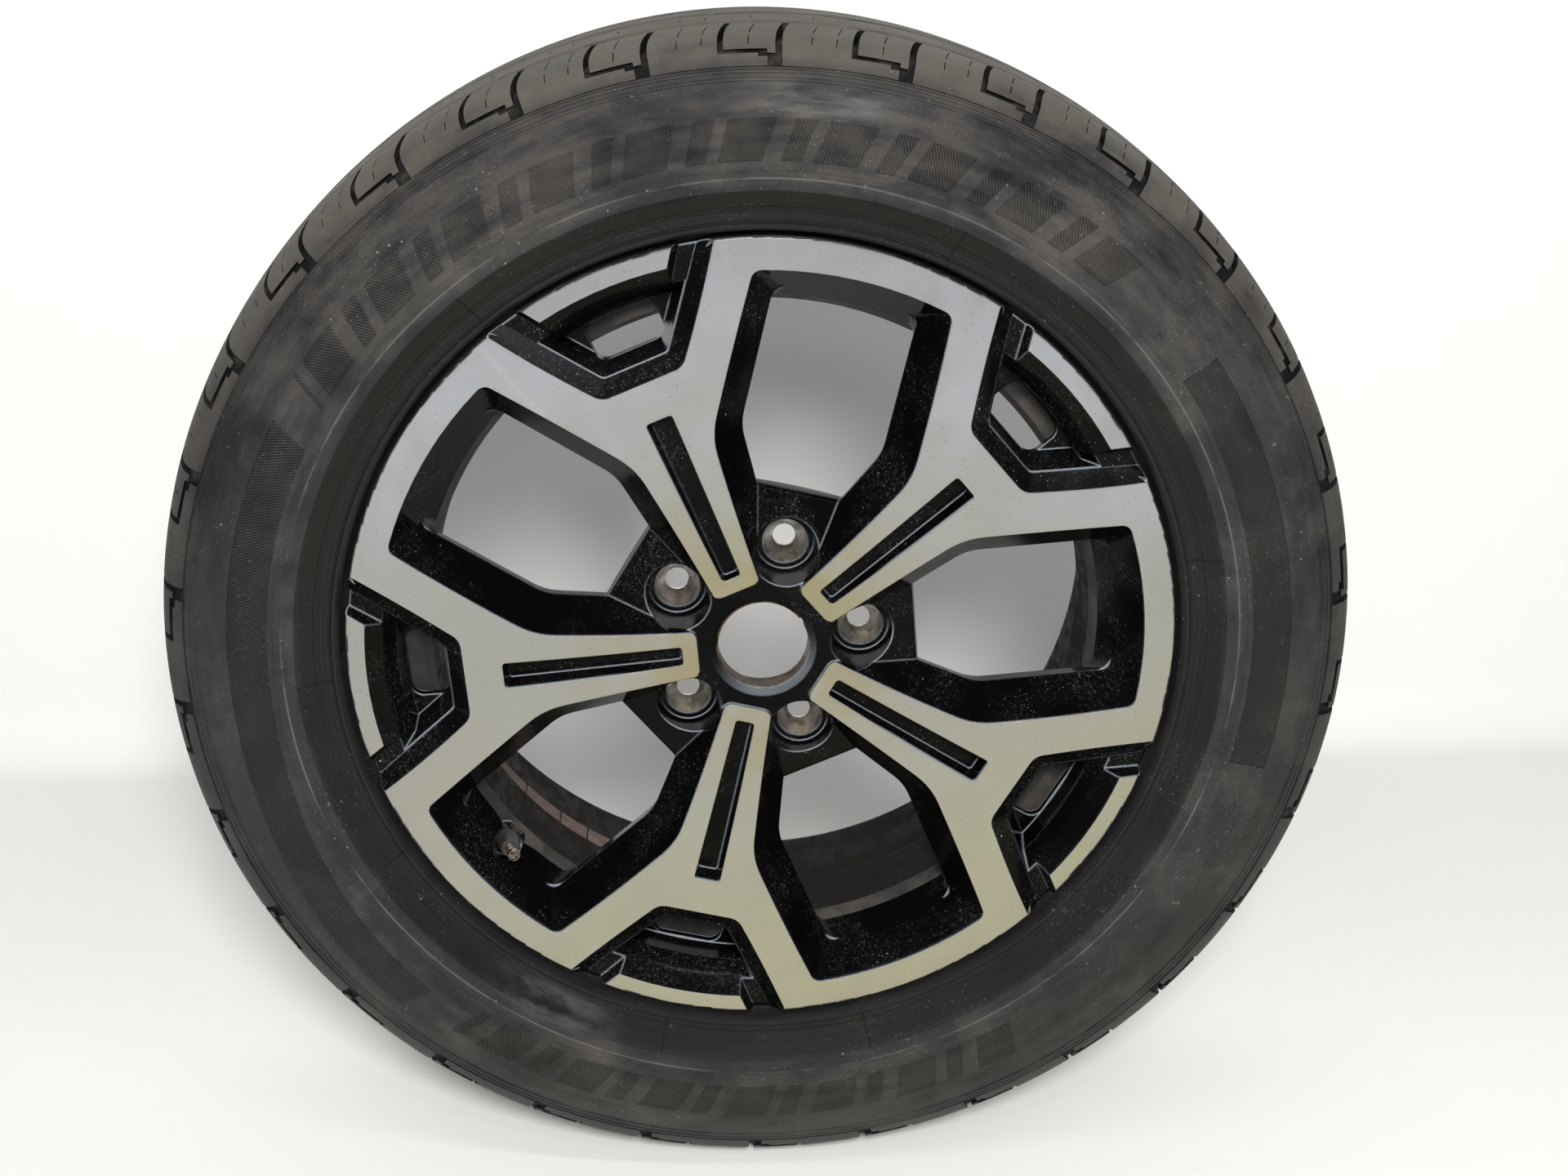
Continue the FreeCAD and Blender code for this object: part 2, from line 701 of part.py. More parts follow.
def balance_tape():
    """Adhesive strip between the weights and the barrel."""
    total = sum(WEIGHT_SPANS)
    front = WEIGHT_FRONT - (TAPE_WIDTH - WEIGHT_WIDTH) / 2
    strip = spun_corners([
        (BARREL_IN, front, 0),
        (BARREL_IN, front + TAPE_WIDTH, 0),
        (BARREL_IN - TAPE, front + TAPE_WIDTH, 0),
        (BARREL_IN - TAPE, front, 0),
    ], total)
    return turned(strip, WEIGHT_FIRST - 90.0)


def balance_weight(index):
    """One weight with bevelled long edges."""
    start = WEIGHT_FIRST - 90.0 + sum(WEIGHT_SPANS[:index])
    outer = BARREL_IN - TAPE
    inner = outer - WEIGHT_HEIGHT
    back = WEIGHT_FRONT + WEIGHT_WIDTH
    span = WEIGHT_SPANS[index] - 2 * WEIGHT_GAP
    bar = spun_corners([
        (outer, WEIGHT_FRONT, 0),
        (outer, back, 0),
        (inner + 1.4, back, 0),
        (inner, back - 1.4, 0),
        (inner, WEIGHT_FRONT + 1.4, 0),
        (inner + 1.4, WEIGHT_FRONT, 0),
    ], span)
    return turned(bar, start + WEIGHT_GAP)


def main():
    os.makedirs("parts", exist_ok=True)
    parts = {
        "alloy_wheel": alloy_wheel(),
        "tyre": tyre(),
        "valve_rubber": valve_rubber(),
        "valve_stem": valve_stem(),
        "valve_core": valve_core(),
        "valve_pin": valve_pin(),
        "balance_tape": balance_tape(),
    }
    for index in range(len(WEIGHT_SPANS)):
        parts["balance_weight_%d" % (index + 1)] = balance_weight(index)
    for name, shape in parts.items():
        shape.exportStep("parts/%s.step" % name)
        print(name, shape.isValid(), round(shape.Volume / 1000, 2), "cm3")


main()
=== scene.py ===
"""Looks of an alloy wheel with its tyre: casting finishes, tyre tread and sidewall, valve, weights and stage."""

import math

import bmesh
import bpy
from bpy.props import FloatProperty, FloatVectorProperty, IntProperty, PointerProperty
from mathutils import Matrix, Vector


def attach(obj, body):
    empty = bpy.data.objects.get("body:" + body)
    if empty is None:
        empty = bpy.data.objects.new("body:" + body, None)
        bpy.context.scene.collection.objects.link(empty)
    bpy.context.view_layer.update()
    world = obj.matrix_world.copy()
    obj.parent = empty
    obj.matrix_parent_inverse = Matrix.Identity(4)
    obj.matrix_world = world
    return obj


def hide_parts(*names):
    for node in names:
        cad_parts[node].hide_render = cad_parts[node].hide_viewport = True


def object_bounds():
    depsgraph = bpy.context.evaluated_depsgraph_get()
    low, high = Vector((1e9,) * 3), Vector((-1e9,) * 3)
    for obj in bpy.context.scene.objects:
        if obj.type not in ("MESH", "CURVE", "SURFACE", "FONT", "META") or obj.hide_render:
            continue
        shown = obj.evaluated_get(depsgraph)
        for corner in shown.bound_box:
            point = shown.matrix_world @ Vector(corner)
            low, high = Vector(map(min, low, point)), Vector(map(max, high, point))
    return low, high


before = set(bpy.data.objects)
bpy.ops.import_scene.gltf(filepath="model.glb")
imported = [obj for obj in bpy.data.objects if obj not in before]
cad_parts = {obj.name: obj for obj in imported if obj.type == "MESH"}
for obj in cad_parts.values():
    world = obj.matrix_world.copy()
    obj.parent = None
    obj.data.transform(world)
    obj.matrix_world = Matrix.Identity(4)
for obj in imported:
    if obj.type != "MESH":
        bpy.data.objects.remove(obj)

bl_info = {
    "name": "Alloy wheel looks",
    "version": (1, 0, 0),
    "blender": (4, 5, 0),
    "location": "3D View > Sidebar > Wheel",
    "description": "Dresses a forked-spoke alloy wheel and its tyre",
    "category": "Object",
}

CAD_BOX = [list(corner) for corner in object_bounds()]
MM = 0.001
MID = 93.0
AXLE = Vector((0.0, 1.0, 0.0))
# Way that the painted edge highlight favours: edges turned up and towards the front
UP_AND_FRONT = (-0.25, -0.72, 0.65)
WINDOW_TURNS = (76.6, 4.6, -67.4, -139.4, 148.6)
NUT_CIRCLE = 57.15
VALVE_SEAT = Vector((-154.36, -60.5, -132.3)) * MM
VALVE_WAY = Vector((0.216915, -0.958323, 0.185919)).normalized()


# Places in the wheel

def place(r, angle, depth):
    """Point at a radius and depth in mm and an angle in degrees, seen from the outer face."""
    a = math.radians(angle)
    return Vector((r * math.cos(a), depth - MID, r * math.sin(a))) * MM


def polar(point):
    """Radius and depth in mm of a point."""
    return math.hypot(point.x, point.z) / MM, point.y / MM + MID


def arc_centre(p, q, s):
    """Centre of the circle through three points of a section."""
    d = 2 * (p[0] * (q[1] - s[1]) + q[0] * (s[1] - p[1]) + s[0] * (p[1] - q[1]))
    pp, qq, ss = (v[0] ** 2 + v[1] ** 2 for v in (p, q, s))
    x = (pp * (q[1] - s[1]) + qq * (s[1] - p[1]) + ss * (p[1] - q[1])) / d
    y = (pp * (s[0] - q[0]) + qq * (p[0] - s[0]) + ss * (q[0] - p[0])) / d
    return x, y


# Arc of the turned face, through three places of its section: radius and depth in mm
FACE_ARC = ((20.0, 5.157), (150.0, -3.6), (234.0, 0.0))
FACE_MIDDLE = arc_centre(*FACE_ARC)
FACE_SIZE = math.dist(FACE_ARC[0], FACE_MIDDLE)


# Sizes and finishes that a user would change

class WheelCastingFinish(bpy.types.PropertyGroup):
    machined: FloatVectorProperty(
        name="Machined face", description="Colour of the turned aluminium face",
        subtype="COLOR", default=(0.70, 0.705, 0.72), min=0, max=1)
    stain: FloatVectorProperty(
        name="Stain", description="Warm stain on the turned face near the hub",
        subtype="COLOR", default=(0.64, 0.56, 0.35), min=0, max=1)
    paint: FloatVectorProperty(
        name="Paint", description="Gloss black paint in the pockets and windows",
        subtype="COLOR", default=(0.0016, 0.0016, 0.0019), min=0, max=1)
    seat: FloatVectorProperty(
        name="Bare seats", description="Worn metal of the nut seats",
        subtype="COLOR", default=(0.80, 0.76, 0.71), min=0, max=1)
    # Near black as painted shade: the barrel's own tone is lighter
    barrel: FloatVectorProperty(
        name="Barrel", description="Matt, dirty inside of the barrel",
        subtype="COLOR", default=(0.0035, 0.003, 0.0028), min=0, max=1)
    dust: FloatVectorProperty(
        name="Dust", description="Pale dust specks", subtype="COLOR", default=(0.42, 0.40, 0.37), min=0, max=1)
    edge: FloatProperty(
        name="Edge rounding", description="Soft edge between the paint and the turned face",
        unit="LENGTH", default=0.0012, min=0, precision=5)
    crease: FloatProperty(
        name="Sharp from", description="Angle from which an edge stays sharp",
        subtype="ANGLE", default=math.radians(28))


class WheelTyreSizes(bpy.types.PropertyGroup):
    rubber: FloatVectorProperty(
        name="Rubber", description="Colour of the clean sidewall", subtype="COLOR",
        default=(0.0108, 0.0110, 0.0134), min=0, max=1)
    worn: FloatVectorProperty(
        name="Worn rubber", description="Greyer, dry rubber", subtype="COLOR",
        default=(0.0245, 0.0238, 0.0245), min=0, max=1)
    road_dust: FloatVectorProperty(
        name="Road dust", description="Brown dust on the tread and shoulder", subtype="COLOR",
        default=(0.092, 0.082, 0.069), min=0, max=1)
    pitches: IntProperty(name="Pitches", description="Tread blocks round the tyre", default=30, min=8, max=60)
    groove: FloatProperty(
        name="Groove depth", description="Depth of the cross grooves on the tread",
        unit="LENGTH", default=0.0065, min=0, precision=4)
    sipe: FloatProperty(
        name="Sipe depth", description="Depth of the fine cuts", unit="LENGTH", default=0.003, min=0, precision=4)
    lean: FloatProperty(
        name="Groove lean", description="How far the grooves lean across the shoulder",
        subtype="ANGLE", default=math.radians(0.9))
    first: FloatProperty(
        name="First groove", description="Angle of one shoulder groove", subtype="ANGLE", default=math.radians(88.8))


class WheelFittingSizes(bpy.types.PropertyGroup):
    thread: FloatProperty(
        name="Thread pitch", description="Pitch of the valve thread", unit="LENGTH", default=0.0009, precision=5)
    thread_depth: FloatProperty(
        name="Thread depth", description="Depth of the valve thread", unit="LENGTH", default=0.00045, precision=5)
    valve_rubber: FloatVectorProperty(
        name="Valve rubber", description="Colour of the valve body", subtype="COLOR",
        default=(0.020, 0.020, 0.021), min=0, max=1)
    valve_metal: FloatVectorProperty(
        name="Valve metal", description="Dull plated brass", subtype="COLOR", default=(0.46, 0.41, 0.33), min=0, max=1)
    rust: FloatVectorProperty(
        name="Rust", description="Rusty balance weights", subtype="COLOR", default=(0.085, 0.055, 0.045), min=0, max=1)
    tape: FloatVectorProperty(
        name="Tape", description="Foam tape under the weights", subtype="COLOR",
        default=(0.05, 0.045, 0.045), min=0, max=1)


class WheelStage(bpy.types.PropertyGroup):
    floor: FloatVectorProperty(
        name="Floor", description="Colour of the floor and wall", subtype="COLOR", default=(0.80, 0.795, 0.785),
        min=0, max=1)
    wall: FloatProperty(name="Wall", description="Distance of the wall behind", unit="LENGTH", default=0.54)
    key: FloatProperty(name="Key light", description="Soft light near the camera", unit="POWER", default=66.0, min=0)
    spark: FloatProperty(
        name="Small lamp", description="Small lamp that gives the gloss its highlights",
        unit="POWER", default=3.0, min=0)
    fill: FloatProperty(name="Tube lamp", description="Long lamp overhead", unit="POWER", default=9.0, min=0)
    sky: FloatProperty(name="Room light", description="Even light of the room", default=0.11, min=0)
    lens: FloatProperty(name="Lens", description="Focal length on a 36 mm frame", unit="CAMERA", default=47.14)


# Shader graphs

class Graph:
    """Short calls for building one node tree."""

    def __init__(self, tree):
        self.tree = tree

    def add(self, kind, inputs=None, **settings):
        node = self.tree.nodes.new(kind)
        for key, value in settings.items():
            setattr(node, key, value)
        for key, value in (inputs or {}).items():
            self.put(node.inputs[key], value)
        return node

    def put(self, socket, value):
        if isinstance(value, bpy.types.NodeSocket):
            self.tree.links.new(value, socket)
        elif hasattr(value, "__len__") and len(value) == 3 and socket.type == "RGBA":
            socket.default_value = (*value, 1.0)
        else:
            socket.default_value = value

    def math(self, operation, a, b=0.0, c=0.0):
        return self.add("ShaderNodeMath", {0: a, 1: b, 2: c}, operation=operation).outputs[0]

    def times(self, *values):
        out = values[0]
        for value in values[1:]:
            out = self.math("MULTIPLY", out, value)
        return out

    def most(self, *values):
        out = values[0]
        for value in values[1:]:
            out = self.math("MAXIMUM", out, value)
        return out

    def ramp(self, value, low, high, start=0.0, end=1.0):
        node = self.add("ShaderNodeMapRange", {0: value, 1: low, 2: high, 3: start, 4: end},
                        interpolation_type="SMOOTHSTEP")
        return node.outputs[0]

    def between(self, value, low, high, soft):
        """1 from low to high, falling off over soft at each end."""
        up = self.ramp(value, low - soft, low + soft)
        down = self.ramp(value, high - soft, high + soft, 1.0, 0.0)
        return self.math("MULTIPLY", up, down)

    def mix(self, factor, a, b, blend="MIX"):
        node = self.add("ShaderNodeMix", {0: factor, 6: a, 7: b}, data_type="RGBA", blend_type=blend)
        return node.outputs[2]

    def vector(self, x, y, z):
        return self.add("ShaderNodeCombineXYZ", {0: x, 1: y, 2: z}).outputs[0]

    def noise(self, vector, scale, detail=3.0, rough=0.55):
        node = self.add("ShaderNodeTexNoise", {"Vector": vector, "Scale": scale, "Detail": detail, "Roughness": rough})
        return node.outputs[0]

    def cells(self, vector, scale, spread=1.0):
        node = self.add("ShaderNodeTexVoronoi", {"Vector": vector, "Scale": scale, "Randomness": spread})
        return node.outputs["Distance"], node.outputs["Color"]

    def group(self, tree, **inputs):
        node = self.add("ShaderNodeGroup", node_tree=tree)
        for key, value in inputs.items():
            self.put(node.inputs[key.replace("_", " ")], value)
        return node.outputs


def new_group(name, inputs, outputs):
    """An empty node group with named sockets; gives its graph, its inputs and a call that sets an output."""
    tree = bpy.data.node_groups.new(name, "ShaderNodeTree")
    for label, kind, value in inputs:
        socket = tree.interface.new_socket(name=label, in_out="INPUT", socket_type="NodeSocket" + kind)
        if value is not None:
            socket.default_value = value
    for label, kind in outputs:
        tree.interface.new_socket(name=label, in_out="OUTPUT", socket_type="NodeSocket" + kind)
    graph = Graph(tree)
    start = graph.add("NodeGroupInput")
    end = graph.add("NodeGroupOutput")
    return graph, start.outputs, end.inputs


def polar_group():
    """Radius and depth in mm and the angle in degrees of a point on the wheel."""
    name = "wheel_polar"
    if name in bpy.data.node_groups:
        return bpy.data.node_groups[name]
    g, given, out = new_group(
        name, [("Position", "Vector", None)], [("Radius", "Float"), ("Angle", "Float"), ("Depth", "Float")])
    split = g.add("ShaderNodeSeparateXYZ", {0: given["Position"]}).outputs
    across = g.vector(split[0], 0.0, split[2])
    length = g.add("ShaderNodeVectorMath", {0: across}, operation="LENGTH").outputs["Value"]
    g.put(out["Radius"], g.math("MULTIPLY", length, 1 / MM))
    turn = g.math("ARCTAN2", split[2], split[0])
    g.put(out["Angle"], g.math("MULTIPLY", turn, 180 / math.pi))
    g.put(out["Depth"], g.math("MULTIPLY_ADD", split[1], 1 / MM, MID))
    return g.tree


def specks_group():
    """Scattered dust specks of several sizes, and a soft dust film."""
    name = "dust_specks"
    if name in bpy.data.node_groups:
        return bpy.data.node_groups[name]
    g, given, out = new_group(
        name, [("Position", "Vector", None), ("Amount", "Float", 0.5)], [("Specks", "Float"), ("Film", "Float")])
    patches = g.ramp(g.noise(given["Position"], 22.0, 4.0), 0.38, 0.68)
    layers = []
    for scale, size in ((150.0, 0.085), (320.0, 0.10), (620.0, 0.16), (1300.0, 0.20)):
        distance, colour = g.cells(given["Position"], scale)
        pick = g.add("ShaderNodeSeparateColor", {0: colour}).outputs
        chance = g.math("GREATER_THAN", g.math("MULTIPLY_ADD", patches, 0.35, pick[0]), 1.02)
        dot = g.ramp(distance, size * 0.5, size * 1.5, 1.0, 0.0)
        layers.append(g.times(dot, chance, pick[1]))
    g.put(out["Specks"], g.times(g.most(*layers), given["Amount"]))
    g.put(out["Film"], g.times(patches, given["Amount"]))
    return g.tree


def edge_highlight_group():
    """Normal of edges rounded to a radius, and a mask for a painted edge highlight: 1 where the surface turns at an
    edge, most where it turns up and to the front.
    """
    name = "rounded_edges"
    if name in bpy.data.node_groups:
        return bpy.data.node_groups[name]
    g, given, out = new_group(name, [("Radius", "Float", 0.001)], [("Normal", "Vector"), ("Edge", "Float")])
    soft = g.add("ShaderNodeBevel", {"Radius": given["Radius"]}, samples=4).outputs[0]
    flat = g.add("ShaderNodeNewGeometry").outputs["Normal"]
    same = g.add("ShaderNodeVectorMath", {0: soft, 1: flat}, operation="DOT_PRODUCT").outputs["Value"]
    up = g.add("ShaderNodeVectorMath", {0: soft, 1: UP_AND_FRONT}, operation="DOT_PRODUCT").outputs["Value"]
    g.put(out["Normal"], soft)
    # Painted highlight mask: edges that turn up and to the front, where a lamp above would glint
    g.put(out["Edge"], g.times(g.ramp(same, 0.80, 0.97, 1.0, 0.0), g.ramp(up, 0.45, 0.95)))
    return g.tree


class Surface:
    """A material with a Principled shader, its graph and the polar place on the wheel."""

    def __init__(self, name, **settings):
        self.material = bpy.data.materials.new(name)
        self.material.use_nodes = True
        self.g = Graph(self.material.node_tree)
        self.shader = self.material.node_tree.nodes["Principled BSDF"]
        self.position = self.g.add("ShaderNodeTexCoord").outputs["Object"]
        place_out = self.g.group(polar_group(), Position=self.position)
        self.radius = place_out["Radius"]
        self.angle = place_out["Angle"]
        self.depth = place_out["Depth"]
        self.edge = None
        for key, value in settings.items():
            self.set(key.replace("_", " "), value)

    def set(self, label, value):
        self.g.put(self.shader.inputs[label], value)

    def specks(self, amount):
        return self.g.group(specks_group(), Position=self.position, Amount=amount)

    def rounded(self, radius):
        """Rounds the edges to a radius, and gives the mask of the painted edge highlight."""
        made = self.g.group(edge_highlight_group(), Radius=radius)
        self.edge = made["Normal"]
        return made["Edge"]

    def bump(self, height, distance, strength=1.0):
        """Bump from a height, on the rounded edges if there are any."""
        inputs = {"Height": height, "Distance": distance, "Strength": strength}
        if self.edge:
            inputs["Normal"] = self.edge
        self.set("Normal", self.g.add("ShaderNodeBump", inputs).outputs[0])


# Finishes of the casting

def machined_finish(look):
    """Turned aluminium: fine rings, a warm stain near the hub, pits, painted highlight streaks and dust."""
    s = Surface("machined_face", Metallic=1.0, Anisotropic=0.55, Anisotropic_Rotation=0.25, Coat_Weight=0.25,
                Coat_Roughness=0.12)
    g = s.g
    s.set("Tangent", g.add("ShaderNodeTangent", direction_type="RADIAL", axis="Y").outputs[0])
    rings = g.vector(g.math("MULTIPLY", s.radius, 3.0), g.math("MULTIPLY", s.angle, 0.03), 0.0)
    turned = g.noise(rings, 1.0, 3.0, 0.6)
    wide = g.noise(g.vector(g.math("MULTIPLY", s.radius, 0.5), g.math("MULTIPLY", s.angle, 0.02), 0.0), 1.0, 2.0)
    cloud = g.noise(s.position, 26.0, 5.0, 0.6)
    pit_distance, pit_colour = g.cells(s.position, 520.0)
    pick = g.add("ShaderNodeSeparateColor", {0: pit_colour}).outputs
    pits = g.times(g.ramp(pit_distance, 0.08, 0.24, 1.0, 0.0), g.math("GREATER_THAN", pick[0], 0.88))
    hub = g.ramp(s.radius, 40.0, 125.0, 1.0, 0.0)
    stain = g.times(g.ramp(cloud, 0.22, 0.62), g.math("MULTIPLY_ADD", hub, 0.75, 0.15))
    colour = g.mix(stain, look.machined, look.stain)
    colour = g.mix(g.math("MULTIPLY", g.ramp(turned, 0.3, 0.75), 0.16), colour, (0.5, 0.5, 0.51))
    # Painted highlights: pale warm radial streaks across the arms, standing for a lamp's reflection in the turned face
    for turn, width, low, high in ((130.6, 0.7, 165.0, 236.0), (95.0, 0.9, 222.0, 240.0), (36.0, 0.8, 170.0, 225.0)):
        streak = g.times(g.between(s.angle, turn - 0.2, turn + 0.2, width), g.between(s.radius, low, high, 9.0))
        colour = g.mix(g.times(streak, g.ramp(turned, 0.25, 0.6), 0.5), colour, (1.0, 0.93, 0.83))
    colour = g.mix(g.math("MULTIPLY", pits, 0.6), colour, (0.16, 0.145, 0.12))
    colour = g.mix(g.math("MULTIPLY", s.specks(0.7)["Specks"], 0.5), colour, look.dust)
    s.set("Base Color", colour)
    rough = g.math("MULTIPLY_ADD", turned, 0.10, 0.24)
    rough = g.math("MULTIPLY_ADD", g.ramp(cloud, 0.35, 0.7), 0.09, rough)
    s.set("Roughness", g.math("MULTIPLY_ADD", pits, 0.2, rough))
    height = g.math("MULTIPLY_ADD", pits, -1.5, g.math("MULTIPLY_ADD", wide, 0.6, turned))
    s.rounded(look.edge)
    s.bump(height, 0.00002, 0.5)
    return s.material


def paint_finish(look):
    """Gloss black paint: dust, painted highlights on the edges and a brown stain in the cap seat."""
    s = Surface("gloss_black", Specular_IOR_Level=0.10, Coat_Weight=0.02, Coat_Roughness=0.05)
    g = s.g
    dust = s.specks(1.0)
    # Painted highlight: a pale line along the front edge of the walls that face upwards, next to the turned face
    facing = g.add("ShaderNodeSeparateXYZ", {0: g.add("ShaderNodeNewGeometry").outputs["Normal"]}).outputs
    reach = g.vector(g.math("SUBTRACT", s.radius, FACE_MIDDLE[0]), g.math("SUBTRACT", s.depth, FACE_MIDDLE[1]), 0.0)
    away = g.add("ShaderNodeVectorMath", {0: reach}, operation="LENGTH").outputs["Value"]
    sunk = g.math("ABSOLUTE", g.math("SUBTRACT", away, FACE_SIZE))
    wall = g.times(g.ramp(sunk, 0.4, 2.8, 0.6, 0.0), g.ramp(g.math("ABSOLUTE", facing[1]), 0.25, 0.5, 1.0, 0.0),
                   g.ramp(facing[2], 0.15, 0.7), g.ramp(s.radius, 75.0, 95.0))
    # Painted edge highlight on the rounded edges, fainter near the bore, joined with the pale line on the walls
    edge = g.most(g.times(s.rounded(look.edge * 1.5), g.ramp(s.radius, 30.0, 42.0, 0.45, 1.0)), wall)
    mottle = g.times(g.ramp(g.noise(s.position, 380.0, 3.0, 0.7), 0.52, 0.70), dust["Film"])
    lip = g.times(g.between(s.radius, 20.0, 27.0, 0.3), g.ramp(g.noise(s.position, 120.0, 4.0), 0.35, 0.62))
    film = g.math("MULTIPLY_ADD", mottle, 0.035, g.math("MULTIPLY", dust["Film"], 0.003))
    colour = g.mix(film, look.paint, look.dust)
    colour = g.mix(g.math("MULTIPLY", lip, 0.8), colour, (0.10, 0.062, 0.034))
    # Painted highlight: pale blue-grey on those edges
    colour = g.mix(g.math("MULTIPLY", edge, 0.75), colour, (0.44, 0.50, 0.58))
    colour = g.mix(g.math("MULTIPLY", dust["Specks"], 0.5), colour, look.dust)
    s.set("Base Color", colour)
    rough = g.math("MULTIPLY_ADD", dust["Film"], 0.08, 0.10)
    s.set("Roughness", g.math("MULTIPLY_ADD", lip, 0.3, rough))
    s.bump(g.noise(s.position, 300.0, 2.0), 0.00002, 0.12)
    return s.material


def seat_finish(look):
    """Bare metal of the nut seats, stained in places."""
    s = Surface("bare_seat", Metallic=1.0)
    g = s.g
    cloud = g.noise(s.position, 140.0, 5.0, 0.6)
    fine = g.noise(s.position, 900.0, 2.0)
    colour = g.mix(g.ramp(cloud, 0.42, 0.70), look.seat, (0.34, 0.28, 0.24))
    s.set("Base Color", colour)
    s.set("Roughness", g.ramp(cloud, 0.3, 0.7, 0.24, 0.46))
    s.rounded(look.edge * 0.6)
    s.bump(g.math("MULTIPLY_ADD", fine, 0.4, cloud), 0.00012, 0.5)
    return s.material


def barrel_finish(look):
    """Matt inside of the barrel with streaks of brake dirt, its tones set near black as painted shade for the dim
    inside.
    """
    s = Surface("barrel_matt", Specular_IOR_Level=0.08)
    g = s.g
    cloud = g.noise(s.position, 34.0, 6.0, 0.62)
    streak = g.noise(g.vector(g.math("MULTIPLY", s.angle, 0.6), g.math("MULTIPLY", s.depth, 0.04), 0.0), 1.0, 3.0)
    dirt = g.ramp(g.math("MULTIPLY_ADD", streak, 0.45, g.math("MULTIPLY", cloud, 0.55)), 0.36, 0.66)
    # Base and dirt tones both darkened as painted shade inside the barrel
    colour = g.mix(dirt, look.barrel, (0.013, 0.0105, 0.0085))
    colour = g.mix(g.math("MULTIPLY", s.specks(0.6)["Specks"], 0.5), colour, look.dust)
    s.set("Base Color", colour)
    s.set("Roughness", g.ramp(dirt, 0.0, 1.0, 0.45, 0.78))
    s.bump(g.noise(s.position, 520.0, 3.0), 0.0001, 0.4)
    return s.material


def rear_finish(look):
    """Satin rear of the spokes and hub, clouded with dirt."""
    s = Surface("rear_satin", Specular_IOR_Level=0.2)
    g = s.g
    cloud = g.noise(s.position, 40.0, 5.0, 0.6)
    colour = g.mix(g.ramp(cloud, 0.4, 0.7), (0.02, 0.02, 0.021), (0.055, 0.048, 0.042))
    colour = g.mix(g.math("MULTIPLY", s.specks(0.5)["Specks"], 0.5), colour, look.dust)
    s.set("Base Color", colour)
    s.set("Roughness", g.ramp(cloud, 0.3, 0.7, 0.3, 0.55))
    s.bump(g.noise(s.position, 700.0, 3.0), 0.00012, 0.4)
    return s.material


# Finishes of the tyre, valve and weights

